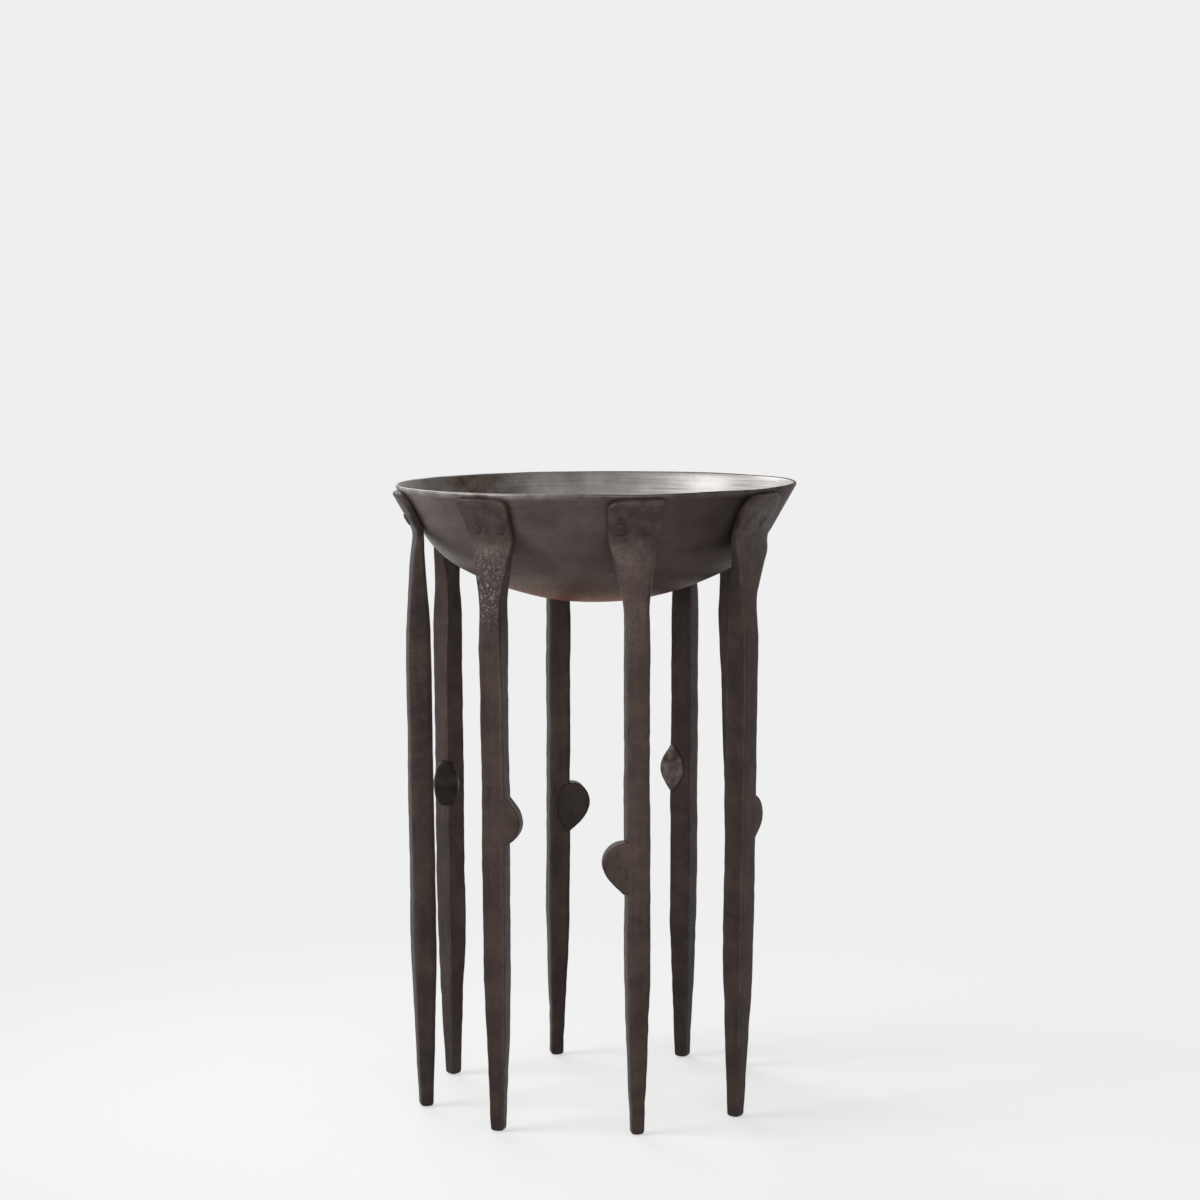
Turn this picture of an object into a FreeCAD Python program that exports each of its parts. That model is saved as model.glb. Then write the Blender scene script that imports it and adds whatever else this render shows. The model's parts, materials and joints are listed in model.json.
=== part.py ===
import FreeCAD, Part
import math
import os

import Sketcher

# A forged iron candle holder: a shallow flared bowl on eight square legs.
# Each leg is drawn out into a flat paddle, which two rivets hold to the bowl's wall,
# and each leg carries one bud on its shaft. Lengths are millimetres, angles degrees.
# The origin is on the floor under the bowl's axis. The front is -Y and up is +Z.

SIZES = {
    # bowl
    "rim_radius": 117.5,        # axis to the outermost point of the rim
    "rim_height": 365.0,        # floor to the top of the rim
    "bowl_depth": 70.0,         # top of the rim to the underside of the dish
    "bowl_wall": 2.0,           # thickness of the sheet
    "flare_height": 39.0,       # top of the rim down to the bend where the dish begins
    "flare_slope": 60.0,        # flared wall above the horizontal
    "bend_radius": 60.0,        # outside of the bend between wall and dish
    # paddle, the flat top of a leg
    "paddle_drop": 1.2,         # rim to the paddle's top edge, along the wall
    "paddle_length": 27.0,      # top edge to the bend, along the wall
    "paddle_width": 34.0,       # at the top edge
    "heel_width": 28.5,         # at the bend
    "paddle_thickness": 4.0,
    "seat_gap": 0.1,            # paddle to bowl wall
    # neck, where the paddle turns into the shaft
    "neck_drop": 33.0,          # rim down to the thinnest place
    "neck_inset": 10.5,         # rim in to the middle of the thinnest place
    "neck_thickness": 5.0,
    "neck_length": 29.0,        # thinnest place down to where the shaft's full width begins
    # shaft and foot
    "bar_side": 13.0,           # square bar
    "shoulder_length": 23.0,    # from there down to where the shaft's full thickness begins
    "shaft_inset": 10.5,        # rim in to the middle of the shaft at that height
    "taper_height": 88.0,       # floor to where the foot's taper begins
    "tip_side": 7.4,            # square flat that stands on the floor
    # rivets
    "rivet_drop": 19.2,         # rim to the rivets, along the wall
    "rivet_pitch": 15.6,        # between the two rivets of a paddle
    "shank_radius": 2.5,
    "hole_clearance": 0.1,      # shank to hole, on the radius
    "head_radius": 4.0,
    "head_height": 1.3,
    "tail_radius": 3.7,         # the end that is hammered over inside the bowl
    "tail_height": 1.1,
    "head_gap": 0.1,            # under head and tail
    # buds
    "bud_reach": 13.0,          # shaft's face to the crown of a bud, and its round end's radius
    "bud_tail": 17.5,           # middle of the round end to the point of the tail
    "bud_width": 11.8,
    "bud_point": 5.0,           # almond outline's points beyond the bud's two ends
}

# One entry for each leg, from the front towards +X.
# angle: of the paddle's middle, from the front; shaft_drift: shaft's top beside the paddle's middle;
# foot_inset: how much nearer to the axis the foot is than the shaft's top; foot_drift: foot beside
# the paddle's middle; bud_height: floor to the bud's round end; bud_turn: way the bud points, from
# straight outwards; bud_sink: how far the bud is let into the bar; bud_spin: 0 with the tail down,
# 180 with the tail up.
LEGS = [
    {"angle": 11.0, "shaft_drift": 1.8, "foot_inset": 7.0, "foot_drift": 1.8,
     "bud_height": 156.0, "bud_turn": -89.0, "bud_sink": 0.0, "bud_spin": 0.0},
    {"angle": 54.4, "shaft_drift": -6.3, "foot_inset": 9.0, "foot_drift": -2.0,
     "bud_height": 177.0, "bud_turn": 86.6, "bud_sink": 4.5, "bud_spin": 0.0},
    {"angle": 129.5, "shaft_drift": 0.0, "foot_inset": 0.9, "foot_drift": -4.3,
     "bud_height": 168.0, "bud_turn": -129.0, "bud_sink": 0.0, "bud_spin": 180.0},
    {"angle": 150.0, "shaft_drift": -1.0, "foot_inset": 1.0, "foot_drift": 1.6,
     "bud_height": 179.0, "bud_turn": 90.0, "bud_sink": 6.0, "bud_spin": 180.0},
    {"angle": 193.0, "shaft_drift": 0.0, "foot_inset": 3.0, "foot_drift": 3.4,
     "bud_height": 160.0, "bud_turn": -115.0, "bud_sink": 0.0, "bud_spin": 0.0},
    {"angle": 238.0, "shaft_drift": 0.0, "foot_inset": 4.2, "foot_drift": 5.0,
     "bud_height": 179.0, "bud_turn": 118.0, "bud_sink": 0.0, "bud_spin": 0.0},
    {"angle": 283.0, "shaft_drift": 0.0, "foot_inset": 0.6, "foot_drift": 6.0,
     "bud_height": 183.0, "bud_turn": -100.0, "bud_sink": 0.0, "bud_spin": 180.0},
    {"angle": 326.5, "shaft_drift": 0.9, "foot_inset": 2.0, "foot_drift": 0.3,
     "bud_height": 179.0, "bud_turn": 90.0, "bud_sink": 5.5, "bud_spin": 180.0},
]

ORIGIN = (-1, 1)            # a sketch's own origin point
UPRIGHT_AXIS = -2           # a sketch's own vertical axis
START, END, CENTRE = range(1, 4)    # the points of a line or an arc
DOME_ACROSS = 0.6           # first guess for a point on a rivet's dome: share of its radius
DOME_UP = 0.7               # and share of its height

doc = FreeCAD.newDocument("candle_holder")


def cell_name(leg, value):
    return f"leg_{leg}_{value}"


def make_sheet():
    """Writes every driving dimension to a cell of its own name."""
    sheet = doc.addObject("Spreadsheet::Sheet", "Sizes")
    cells = dict(SIZES)
    for leg, values in enumerate(LEGS, start=1):
        for value, amount in values.items():
            cells[cell_name(leg, value)] = amount
    for row, (name, amount) in enumerate(cells.items(), start=1):
        sheet.set(f"A{row}", name)
        sheet.set(f"B{row}", str(amount))
        sheet.setAlias(f"B{row}", name)
    doc.recompute()
    return sheet


sheet = make_sheet()


def size(name):
    return f"Sizes.{name}"


def leg_size(leg, value):
    return size(cell_name(leg, value))


def number(expression):
    value = sheet.evalExpression(expression)
    return getattr(value, "Value", value)


# Places that several pieces share, as expressions of the sheet's cells.

SLOPE = f"({size('flare_slope')} * 1 deg)"


def wall_point(along, out):
    """Radius and height at a distance below the rim along the wall, and out from its outer face."""
    lift = f"({size('bowl_wall')} / 2 + {out})"
    radius = (f"{size('rim_radius')} - {size('bowl_wall')} / 2"
              f" - ({along}) * cos({SLOPE}) + {lift} * sin({SLOPE})")
    height = (f"{size('rim_height')} - {size('bowl_wall')} / 2"
              f" - ({along}) * sin({SLOPE}) - {lift} * cos({SLOPE})")
    return radius, height


NECK_HEIGHT = f"({size('rim_height')} - {size('neck_drop')})"
NECK_RADIUS = f"({size('rim_radius')} - {size('neck_inset')})"
NECK_END = f"({NECK_HEIGHT} - {size('neck_length')})"
SHOULDER_HEIGHT = f"({NECK_END} - {size('shoulder_length')})"
SHAFT_RADIUS = f"({size('rim_radius')} - {size('shaft_inset')})"
TAPER_HEIGHT = size("taper_height")


def shaft_centre(leg, height):
    """Radius and sideways place of a leg's centre line at a height below its shoulder."""
    share = f"({SHOULDER_HEIGHT} - {height}) / {SHOULDER_HEIGHT}"
    top, foot = leg_size(leg, "shaft_drift"), leg_size(leg, "foot_drift")
    radius = f"({SHAFT_RADIUS} - {leg_size(leg, 'foot_inset')} * {share})"
    drift = f"({top} + ({foot} - {top}) * {share})"
    return radius, drift


def leg_yaw(leg):
    return f"({leg_size(leg, 'angle')} - 90)"


PADDLE_OUTSIDE = f"({size('seat_gap')} + {size('paddle_thickness')})"
PADDLE_BEND = f"({size('paddle_drop')} + {size('paddle_length')})"


# Helpers for sketches

def new_sketch(body, name, role):
    """A sketch on one of its body's own origin planes."""
    sketch = body.newObject("Sketcher::SketchObject", name)
    plane = next(item for item in body.Origin.OriginFeatures if item.Role == role)
    sketch.AttachmentSupport = [(plane, "")]
    sketch.MapMode = "FlatFace"
    return sketch


def bind(sketch, constraint, expression):
    index = sketch.addConstraint(constraint)
    sketch.setExpression(f"Constraints[{index}]", expression)


def pin_point(sketch, item, point, across, up):
    """Ties a point of the sketch to two expressions, measured from the origin."""
    bind(sketch, Sketcher.Constraint("DistanceX", *ORIGIN, item, point, number(across)), across)
    bind(sketch, Sketcher.Constraint("DistanceY", *ORIGIN, item, point, number(up)), up)


def add_line(sketch, start, end):
    first = FreeCAD.Vector(number(start[0]), number(start[1]), 0)
    second = FreeCAD.Vector(number(end[0]), number(end[1]), 0)
    return sketch.addGeometry(Part.LineSegment(first, second), False)


def add_arc(sketch, start, middle, end):
    """An arc through three points, drawn anticlockwise; says which of its ends is the given start."""
    first, second, third = (FreeCAD.Vector(number(p[0]), number(p[1]), 0) for p in (start, middle, end))
    anticlockwise = (second - first).cross(third - second).z > 0
    if anticlockwise:
        return sketch.addGeometry(Part.Arc(first, second, third), False), START, END
    return sketch.addGeometry(Part.Arc(third, second, first), False), END, START


def join(sketch, first, first_point, second, second_point, kind="Coincident"):
    sketch.addConstraint(Sketcher.Constraint(kind, first, first_point, second, second_point))


def draw_outline(sketch, corners):
    """A closed outline of straight lines, each corner tied to its two expressions."""
    following = corners[1:] + corners[:1]
    lines = [add_line(sketch, a, b) for a, b in zip(corners, following)]
    for line, after in zip(lines, lines[1:] + lines[:1]):
        join(sketch, line, END, after, START)
    for line, corner in zip(lines, corners):
        pin_point(sketch, line, START, *corner)


def draw_frame(sketch, half_width, bottom, top):
    """An upright rectangle about the sketch's vertical axis, around what is to be kept."""
    draw_outline(sketch, [(f"-({half_width})", bottom), (half_width, bottom),
                          (half_width, top), (f"-({half_width})", top)])


def trim_outside(body, name, sketch):
    """Cuts away what lies between the sketch's frame and the outline inside it."""
    doc.recompute()
    before = body.Shape.Volume
    pocket = body.newObject("PartDesign::Pocket", name)
    pocket.Profile = sketch
    pocket.Type = "ThroughAll"
    pocket.SideType = "Symmetric"
    doc.recompute()
    if not pocket.Shape.Volume < before:
        raise RuntimeError(f"{name} cuts nothing")


def revolve(body, name, sketch):
    turned = body.newObject("PartDesign::Revolution", name)
    turned.Profile = sketch
    turned.ReferenceAxis = (sketch, ["V_Axis"])
    return turned


def new_body(name):
    return doc.addObject("PartDesign::Body", name)


def cut(name, base, tool):
    piece = doc.addObject("Part::Cut", name)
    piece.Base = base
    piece.Tool = tool
    return piece


def group(name, pieces):
    together = doc.addObject("Part::Compound", name)
    together.Links = pieces
    return together


def placed(across, along, up, yaw, pitch, roll):
    return f"placement(vector({across}; {along}; {up}); rotation({yaw}; {pitch}; {roll}))"


# Bowl: a dish of one arc, a bend, a flared wall and a rounded rim, revolved about the axis

def draw_bowl_section(sketch):
    wall = size("bowl_wall")
    rim = (f"{size('rim_radius')} - {wall} / 2", f"{size('rim_height')} - {wall} / 2")
    bottom = f"{size('rim_height')} - {size('bowl_depth')}"
    bend_along = f"(({size('flare_height')} - {wall} / 2) / sin({SLOPE}))"
    bend = wall_point(bend_along, "0")

    # The dish's radius follows from its depth and the place of the bend.
    rise = f"({bend[1]} - ({bottom}))"
    dish = f"((({bend[0]}) ^ 2 + {rise} ^ 2) / (2 * {rise}))"
    dish_angle = f"asin(({bend[0]}) / {dish})"
    # The bend's arc takes an equal length off the wall and off the dish, to a first guess.
    taken = f"({size('bend_radius')} * tan(({SLOPE} - {dish_angle}) / 2))"
    wall_low = wall_point(f"({bend_along} - {taken})", "0")
    wall_high = wall_point("0", "0")
    inner_low = wall_point(f"({bend_along} - {taken})", f"-{wall}")
    inner_high = wall_point("0", f"-{wall}")
    reach = f"({dish_angle} - {taken} / {dish} * 1 rad)"

    def on_dish(angle, inside):
        return (f"({dish} - {inside}) * sin({angle})",
                f"{bottom} + {dish} - ({dish} - {inside}) * cos({angle})")

    def on_bend(inside):
        middle = f"(({SLOPE} + {reach}) / 2)"
        turn = f"({size('bend_radius')} - {inside})"
        centre = wall_point(f"({bend_along} - {taken})", f"-{size('bend_radius')}")
        return (f"{centre[0]} + {turn} * sin({middle})", f"{centre[1]} - {turn} * cos({middle})")

    dish_out, dish_start, dish_end = add_arc(
        sketch, on_dish("0", "0"), on_dish(f"{reach} / 2", "0"), on_dish(reach, "0"))
    bend_out, bend_start, bend_end = add_arc(sketch, on_dish(reach, "0"), on_bend("0"), wall_low)
    wall_out = add_line(sketch, wall_low, wall_high)
    rim_top = (f"{rim[0]} + {wall} / 2 * cos({SLOPE})", f"{rim[1]} + {wall} / 2 * sin({SLOPE})")
    edge, edge_start, edge_end = add_arc(sketch, wall_high, rim_top, inner_high)
    wall_in = add_line(sketch, inner_high, inner_low)
    bend_in, bend_in_start, bend_in_end = add_arc(sketch, inner_low, on_bend(wall), on_dish(reach, wall))
    dish_in, dish_in_start, dish_in_end = add_arc(
        sketch, on_dish(reach, wall), on_dish(f"{reach} / 2", wall), on_dish("0", wall))
    axis = add_line(sketch, on_dish("0", wall), on_dish("0", "0"))

    join(sketch, dish_out, dish_end, bend_out, bend_start, "Tangent")
    join(sketch, bend_out, bend_end, wall_out, START, "Tangent")
    join(sketch, wall_out, END, edge, edge_start, "Tangent")
    join(sketch, edge, edge_end, wall_in, START, "Tangent")
    join(sketch, wall_in, END, bend_in, bend_in_start, "Tangent")
    join(sketch, bend_in, bend_in_end, dish_in, dish_in_start, "Tangent")
    join(sketch, dish_in, dish_in_end, axis, START)
    join(sketch, axis, END, dish_out, dish_start)
    join(sketch, bend_in, CENTRE, bend_out, CENTRE)
    join(sketch, dish_in, CENTRE, dish_out, CENTRE)
    sketch.addConstraint(Sketcher.Constraint("Vertical", axis))
    sketch.addConstraint(Sketcher.Constraint("PointOnObject", dish_out, CENTRE, UPRIGHT_AXIS))
    sketch.addConstraint(Sketcher.Constraint("PointOnObject", dish_out, dish_start, UPRIGHT_AXIS))
    sketch.addConstraint(Sketcher.Constraint("Parallel", wall_in, wall_out))
    pin_point(sketch, edge, CENTRE, *rim)
    bind(sketch, Sketcher.Constraint("Radius", edge, number(f"{wall} / 2")), f"{wall} / 2")
    bind(sketch, Sketcher.Constraint("Radius", bend_out, number(size("bend_radius"))), size("bend_radius"))
    bind(sketch, Sketcher.Constraint("Radius", dish_out, number(dish)), dish)
    bind(sketch, Sketcher.Constraint("DistanceY", *ORIGIN, dish_out, dish_start, number(bottom)), bottom)
    bind(sketch, Sketcher.Constraint("Angle", wall_out, math.radians(number(SLOPE))), SLOPE)


def make_bowl(drills):
    body = new_body("bowl_blank")
    sketch = new_sketch(body, "bowl_section", "XZ_Plane")
    draw_bowl_section(sketch)
    revolve(body, "bowl_turned", sketch)
    return cut("bowl", body, drills)


# Legs: a side outline revolved through a short sector, so that the paddle follows the bowl,
# then trimmed to the leg's front outline

def draw_leg_side(sketch, leg):
    half_bar = f"{size('bar_side')} / 2"
    half_tip = f"{size('tip_side')} / 2"
    half_neck = f"{size('neck_thickness')} / 2"
    taper_radius = shaft_centre(leg, TAPER_HEIGHT)[0]
    foot_radius = shaft_centre(leg, "0")[0]
    outside = [
        wall_point(size("paddle_drop"), PADDLE_OUTSIDE),
        wall_point(PADDLE_BEND, PADDLE_OUTSIDE),
        (f"{NECK_RADIUS} + {half_neck}", NECK_HEIGHT),
        (f"{SHAFT_RADIUS} + {half_bar}", SHOULDER_HEIGHT),
        (f"{taper_radius} + {half_bar}", TAPER_HEIGHT),
        (f"{foot_radius} + {half_tip}", "0"),
    ]
    inside = [
        (f"{foot_radius} - {half_tip}", "0"),
        (f"{taper_radius} - {half_bar}", TAPER_HEIGHT),
        (f"{SHAFT_RADIUS} - {half_bar}", SHOULDER_HEIGHT),
        (f"{NECK_RADIUS} - {half_neck}", NECK_HEIGHT),
        wall_point(PADDLE_BEND, size("seat_gap")),
        wall_point(size("paddle_drop"), size("seat_gap")),
    ]
    draw_outline(sketch, outside + inside)


def draw_leg_front(sketch, leg):
    """Half widths from the floor up, about a centre line that drifts sideways below the shoulder."""
    taper_drift = shaft_centre(leg, TAPER_HEIGHT)[1]
    bend = wall_point(PADDLE_BEND, PADDLE_OUTSIDE)
    above = f"{size('rim_height')} + {size('paddle_width')}"
    below = f"-{size('paddle_width')}"
    stations = [
        (leg_size(leg, "foot_drift"), size("tip_side"), below),
        (leg_size(leg, "foot_drift"), size("tip_side"), "0"),
        (taper_drift, size("bar_side"), TAPER_HEIGHT),
        (leg_size(leg, "shaft_drift"), size("bar_side"), SHOULDER_HEIGHT),
        (leg_size(leg, "shaft_drift"), size("bar_side"), NECK_END),
        ("0", size("heel_width"), bend[1]),
        ("0", size("paddle_width"), size("rim_height")),
        ("0", size("paddle_width"), above),
    ]
    right = [(f"{middle} + {width} / 2", height) for middle, width, height in stations]
    left = [(f"{middle} - {width} / 2", height) for middle, width, height in stations]
    draw_outline(sketch, right + left[::-1])
    frame = f"2 * {size('paddle_width')}"
    draw_frame(sketch, frame, f"{below} - {frame}", f"{above} + {frame}")


def make_leg_blank(leg):
    body = new_body(f"leg_{leg}_blank")
    side = new_sketch(body, f"leg_{leg}_side", "XZ_Plane")
    draw_leg_side(side, leg)
    swept = revolve(body, f"leg_{leg}_swept", side)
    swept.Midplane = True
    swept.setExpression("Angle", f"2 * atan({size('paddle_width')} / {SHAFT_RADIUS})")
    front = new_sketch(body, f"leg_{leg}_front", "YZ_Plane")
    draw_leg_front(front, leg)
    trim_outside(body, f"leg_{leg}_trimmed", front)
    body.setExpression("Placement", placed("0", "0", "0", leg_yaw(leg), "0", "0"))
    return body


# Rivets: one shape, revolved about its own axis, with its origin on the bowl's outer face

def draw_rivet(sketch):
    tail_face = f"-{size('bowl_wall')} - {size('head_gap')}"
    head_face = f"{PADDLE_OUTSIDE} + {size('head_gap')}"
    tail_end = ("0", f"{tail_face} - {size('tail_height')}")
    head_end = ("0", f"{head_face} + {size('head_height')}")
    tail_edge = (size("tail_radius"), tail_face)
    head_edge = (size("head_radius"), head_face)
    shank = [(size("shank_radius"), tail_face), (size("shank_radius"), head_face)]

    def bulge(edge, end):
        """A point between edge and end, pushed out so that the arc starts out domed."""
        return f"{edge[0]} * {DOME_ACROSS}", f"{edge[1]} + ({end[1]} - ({edge[1]})) * {DOME_UP}"

    tail, tail_start, tail_stop = add_arc(sketch, tail_end, bulge(tail_edge, tail_end), tail_edge)
    tail_under = add_line(sketch, tail_edge, shank[0])
    side = add_line(sketch, shank[0], shank[1])
    head_under = add_line(sketch, shank[1], head_edge)
    head, head_start, head_stop = add_arc(sketch, head_edge, bulge(head_edge, head_end), head_end)
    axis = add_line(sketch, head_end, tail_end)
    join(sketch, tail, tail_stop, tail_under, START)
    join(sketch, tail_under, END, side, START)
    join(sketch, side, END, head_under, START)
    join(sketch, head_under, END, head, head_start)
    join(sketch, head, head_stop, axis, START)
    join(sketch, axis, END, tail, tail_start)
    for dome in (head, tail):
        sketch.addConstraint(Sketcher.Constraint("PointOnObject", dome, CENTRE, UPRIGHT_AXIS))
    pin_point(sketch, tail_under, START, *tail_edge)
    pin_point(sketch, side, START, *shank[0])
    pin_point(sketch, head_under, START, *shank[1])
    pin_point(sketch, head, head_start, *head_edge)
    pin_point(sketch, axis, START, *head_end)
    pin_point(sketch, axis, END, *tail_end)


def make_rivet():
    body = new_body("rivet")
    sketch = new_sketch(body, "rivet_section", "XZ_Plane")
    draw_rivet(sketch)
    revolve(body, "rivet_turned", sketch)
    return body


def rivet_places(leg):
    """The placements of a leg's two rivets, square to the bowl's wall."""
    radius, height = wall_point(size("rivet_drop"), "0")
    half_turn = f"asin({size('rivet_pitch')} / 2 / ({radius})) / 1 deg"
    places = []
    for side in ("-", "+"):
        yaw = f"({leg_yaw(leg)} {side} {half_turn})"
        places.append(placed(f"({radius}) * cos({yaw})", f"({radius}) * sin({yaw})", height,
                             yaw, f"180 - {size('flare_slope')}", "0"))
    return places


def make_drills(leg):
    """Two cylinders that cut a leg's rivet holes, through paddle and bowl wall and well clear of both."""
    start = placed("0", "0", f"-2 * {size('bowl_wall')}", "0", "0", "0")
    drills = []
    for index, place in enumerate(rivet_places(leg), start=1):
        drill = doc.addObject("Part::Cylinder", f"drill_{leg}_{index}")
        drill.setExpression("Radius", f"{size('shank_radius')} + {size('hole_clearance')}")
        drill.setExpression("Height", f"2 * ({size('bowl_wall')} + {PADDLE_OUTSIDE})")
        drill.setExpression("Placement", f"{place} * {start}")
        drills.append(drill)
    return group(f"drills_{leg}", drills)


def make_rivets(leg, rivet):
    rivets = []
    for index, place in enumerate(rivet_places(leg), start=1):
        copy = doc.addObject("App::Link", f"rivet_{leg}_{index}")
        copy.LinkedObject = rivet
        copy.setExpression("Placement", place)
        rivets.append(copy)
    return group(f"rivets_{leg}", rivets)


# Buds: a round end with a tapering tail seen from the side, an almond seen end on,
# seated on the leg by cutting the leg out of it

def draw_bud_side(sketch):
    face = f"{size('bar_side')} / 2"
    reach = size("bud_reach")
    tail = f"-{size('bud_tail')}"
    # The tail's straight side leaves the round end where it is tangent to it.
    turn = f"acos({reach} / {size('bud_tail')})"
    leave = (f"{face} + {reach} * sin({turn})", f"-{reach} * cos({turn})")
    crown = (f"{face} + {reach} / sqrt(2)", f"{reach} / sqrt(2)")
    top = (face, reach)
    point = (face, tail)
    back = [("0", tail), ("0", reach)]
    round_end, round_start, round_stop = add_arc(sketch, leave, crown, top)
    over = add_line(sketch, top, back[1])
    behind = add_line(sketch, back[1], back[0])
    under = add_line(sketch, back[0], point)
    slope = add_line(sketch, point, leave)
    join(sketch, round_end, round_stop, over, START)
    join(sketch, over, END, behind, START)
    join(sketch, behind, END, under, START)
    join(sketch, under, END, slope, START)
    join(sketch, slope, END, round_end, round_start, "Tangent")
    pin_point(sketch, round_end, CENTRE, face, "0")
    pin_point(sketch, over, START, *top)
    pin_point(sketch, over, END, *back[1])
    pin_point(sketch, under, START, *back[0])
    pin_point(sketch, under, END, *point)


def draw_bud_end(sketch):
    half_width = f"{size('bud_width')} / 2"
    top = ("0", f"{size('bud_reach')} + {size('bud_point')}")
    bottom = ("0", f"-{size('bud_tail')} - {size('bud_point')}")
    middle = f"({top[1]} + {bottom[1]}) / 2"
    right, right_start, right_stop = add_arc(sketch, bottom, (half_width, middle), top)
    left, left_start, left_stop = add_arc(sketch, top, (f"-{half_width}", middle), bottom)
    join(sketch, right, right_stop, left, left_start)
    join(sketch, left, left_stop, right, right_start)
    pin_point(sketch, right, right_start, *bottom)
    pin_point(sketch, right, right_stop, *top)
    half_height = f"(({top[1]}) - ({bottom[1]})) / 2"
    radius = f"(({half_height}) ^ 2 + ({half_width}) ^ 2) / {size('bud_width')}"
    for side in (right, left):
        bind(sketch, Sketcher.Constraint("Radius", side, number(radius)), radius)
    frame = size("bud_width")
    draw_frame(sketch, frame, f"{bottom[1]} - {frame}", f"{top[1]} + {frame}")


def make_bud_blank():
    body = new_body("bud_blank")
    side = new_sketch(body, "bud_side", "XZ_Plane")
    draw_bud_side(side)
    pad = body.newObject("PartDesign::Pad", "bud_padded")
    pad.Profile = side
    pad.SideType = "Symmetric"
    pad.setExpression("Length", size("bud_width"))
    end = new_sketch(body, "bud_end", "YZ_Plane")
    draw_bud_end(end)
    trim_outside(body, "bud_trimmed", end)
    return body


def make_bud(leg, blank, leg_blank):
    radius, drift = shaft_centre(leg, leg_size(leg, "bud_height"))
    yaw = leg_yaw(leg)
    copy = doc.addObject("App::Link", f"bud_{leg}_place")
    copy.LinkedObject = blank
    seat = placed(
        f"{radius} * cos({yaw}) - {drift} * sin({yaw})",
        f"{radius} * sin({yaw}) + {drift} * cos({yaw})",
        leg_size(leg, "bud_height"),
        f"{yaw} + {leg_size(leg, 'bud_turn')}", "0", leg_size(leg, "bud_spin"))
    sunk = placed(f"-{leg_size(leg, 'bud_sink')}", "0", "0", "0", "0", "0")
    copy.setExpression("Placement", f"{seat} * {sunk}")
    return cut(f"bud_{leg}", copy, leg_blank)


def check_document():
    """Stops if anything in the document failed to build."""
    for item in doc.Objects:
        if "Invalid" in item.State or "Error" in item.State:
            raise RuntimeError(f"{item.Label} failed: {item.getStatusString()}")


def write_pieces(pieces):
    os.makedirs("parts", exist_ok=True)
    for piece in pieces:
        if piece.Shape.isNull() or not piece.Shape.isValid():
            raise RuntimeError(f"{piece.Label} has no valid shape")
    for piece in pieces:
        piece.Shape.exportStep(os.path.join("parts", f"{piece.Label}.step"))
        print(piece.Label, len(piece.Shape.Solids), "solids", round(piece.Shape.Volume), "mm3")


def main():
    legs = range(1, len(LEGS) + 1)
    rivet = make_rivet()
    bud_blank = make_bud_blank()
    drills = [make_drills(leg) for leg in legs]
    blanks = [make_leg_blank(leg) for leg in legs]
    pieces = [make_bowl(group("all_drills", drills))]
    pieces += [cut(f"leg_{leg}", blanks[leg - 1], drills[leg - 1]) for leg in legs]
    pieces += [make_bud(leg, bud_blank, blanks[leg - 1]) for leg in legs]
    pieces += [make_rivets(leg, rivet) for leg in legs]
    doc.recompute()
    check_document()
    write_pieces(pieces)


main()
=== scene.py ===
# %% [markdown]
# A candle holder of forged iron: a shallow flared bowl that stands on eight tall legs.
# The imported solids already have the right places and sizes, but they are smooth and exact,
# and a smith's work is neither. So each solid is used as a frame, and a mesh with wavy
# edges, hammer marks and worn corners takes its place.
# All lengths are metres in the frame of the solids: the front is -Y and up is +Z.

# %% Load the frame
import bmesh
import bpy
import json
import math
from mathutils import Euler, Matrix, Quaternion, Vector, noise


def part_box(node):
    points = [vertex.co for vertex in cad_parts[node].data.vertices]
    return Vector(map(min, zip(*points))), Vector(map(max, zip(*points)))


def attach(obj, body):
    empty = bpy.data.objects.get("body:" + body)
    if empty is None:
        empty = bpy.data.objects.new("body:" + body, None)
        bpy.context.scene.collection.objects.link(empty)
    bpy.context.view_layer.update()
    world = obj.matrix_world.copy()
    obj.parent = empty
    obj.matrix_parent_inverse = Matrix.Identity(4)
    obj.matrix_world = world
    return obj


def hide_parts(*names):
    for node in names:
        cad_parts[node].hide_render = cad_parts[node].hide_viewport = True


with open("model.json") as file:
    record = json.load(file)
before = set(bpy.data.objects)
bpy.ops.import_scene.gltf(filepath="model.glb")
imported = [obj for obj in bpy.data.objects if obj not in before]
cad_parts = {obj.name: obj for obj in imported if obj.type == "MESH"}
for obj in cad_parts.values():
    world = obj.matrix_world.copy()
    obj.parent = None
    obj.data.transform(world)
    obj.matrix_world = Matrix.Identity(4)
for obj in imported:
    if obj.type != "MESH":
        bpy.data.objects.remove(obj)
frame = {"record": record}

MM = 0.001
scene = bpy.context.scene
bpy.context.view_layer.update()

# %% [markdown]
# The camera comes first, because everything after it is judged through it. It stands
# almost two metres away with a long lens, so the upright legs stay nearly parallel, and it
# looks down by five degrees, which opens the bowl's rim into a narrow ellipse.

# %% Camera
CAMERA_PLACE = Vector((0.0, -1.9398, 0.4797))
LOOK_DOWN = math.radians(5.424)
LOOK_RIGHT = math.radians(0.052)
ROLL = math.radians(-0.35)
LENS_MM = 99.28

camera_data = bpy.data.cameras.new("front_camera")
camera_data.sensor_width = 36
camera_data.lens = LENS_MM
camera = bpy.data.objects.new("front_camera", camera_data)
scene.collection.objects.link(camera)
aim = Euler((math.pi / 2 - LOOK_DOWN, 0, -LOOK_RIGHT)).to_quaternion()
camera.location = CAMERA_PLACE
camera.rotation_euler = (aim @ Quaternion((0, 0, 1), ROLL)).to_euler()
scene.camera = camera
scene.view_settings.view_transform = "Standard"
print("camera at", list(CAMERA_PLACE))

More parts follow.
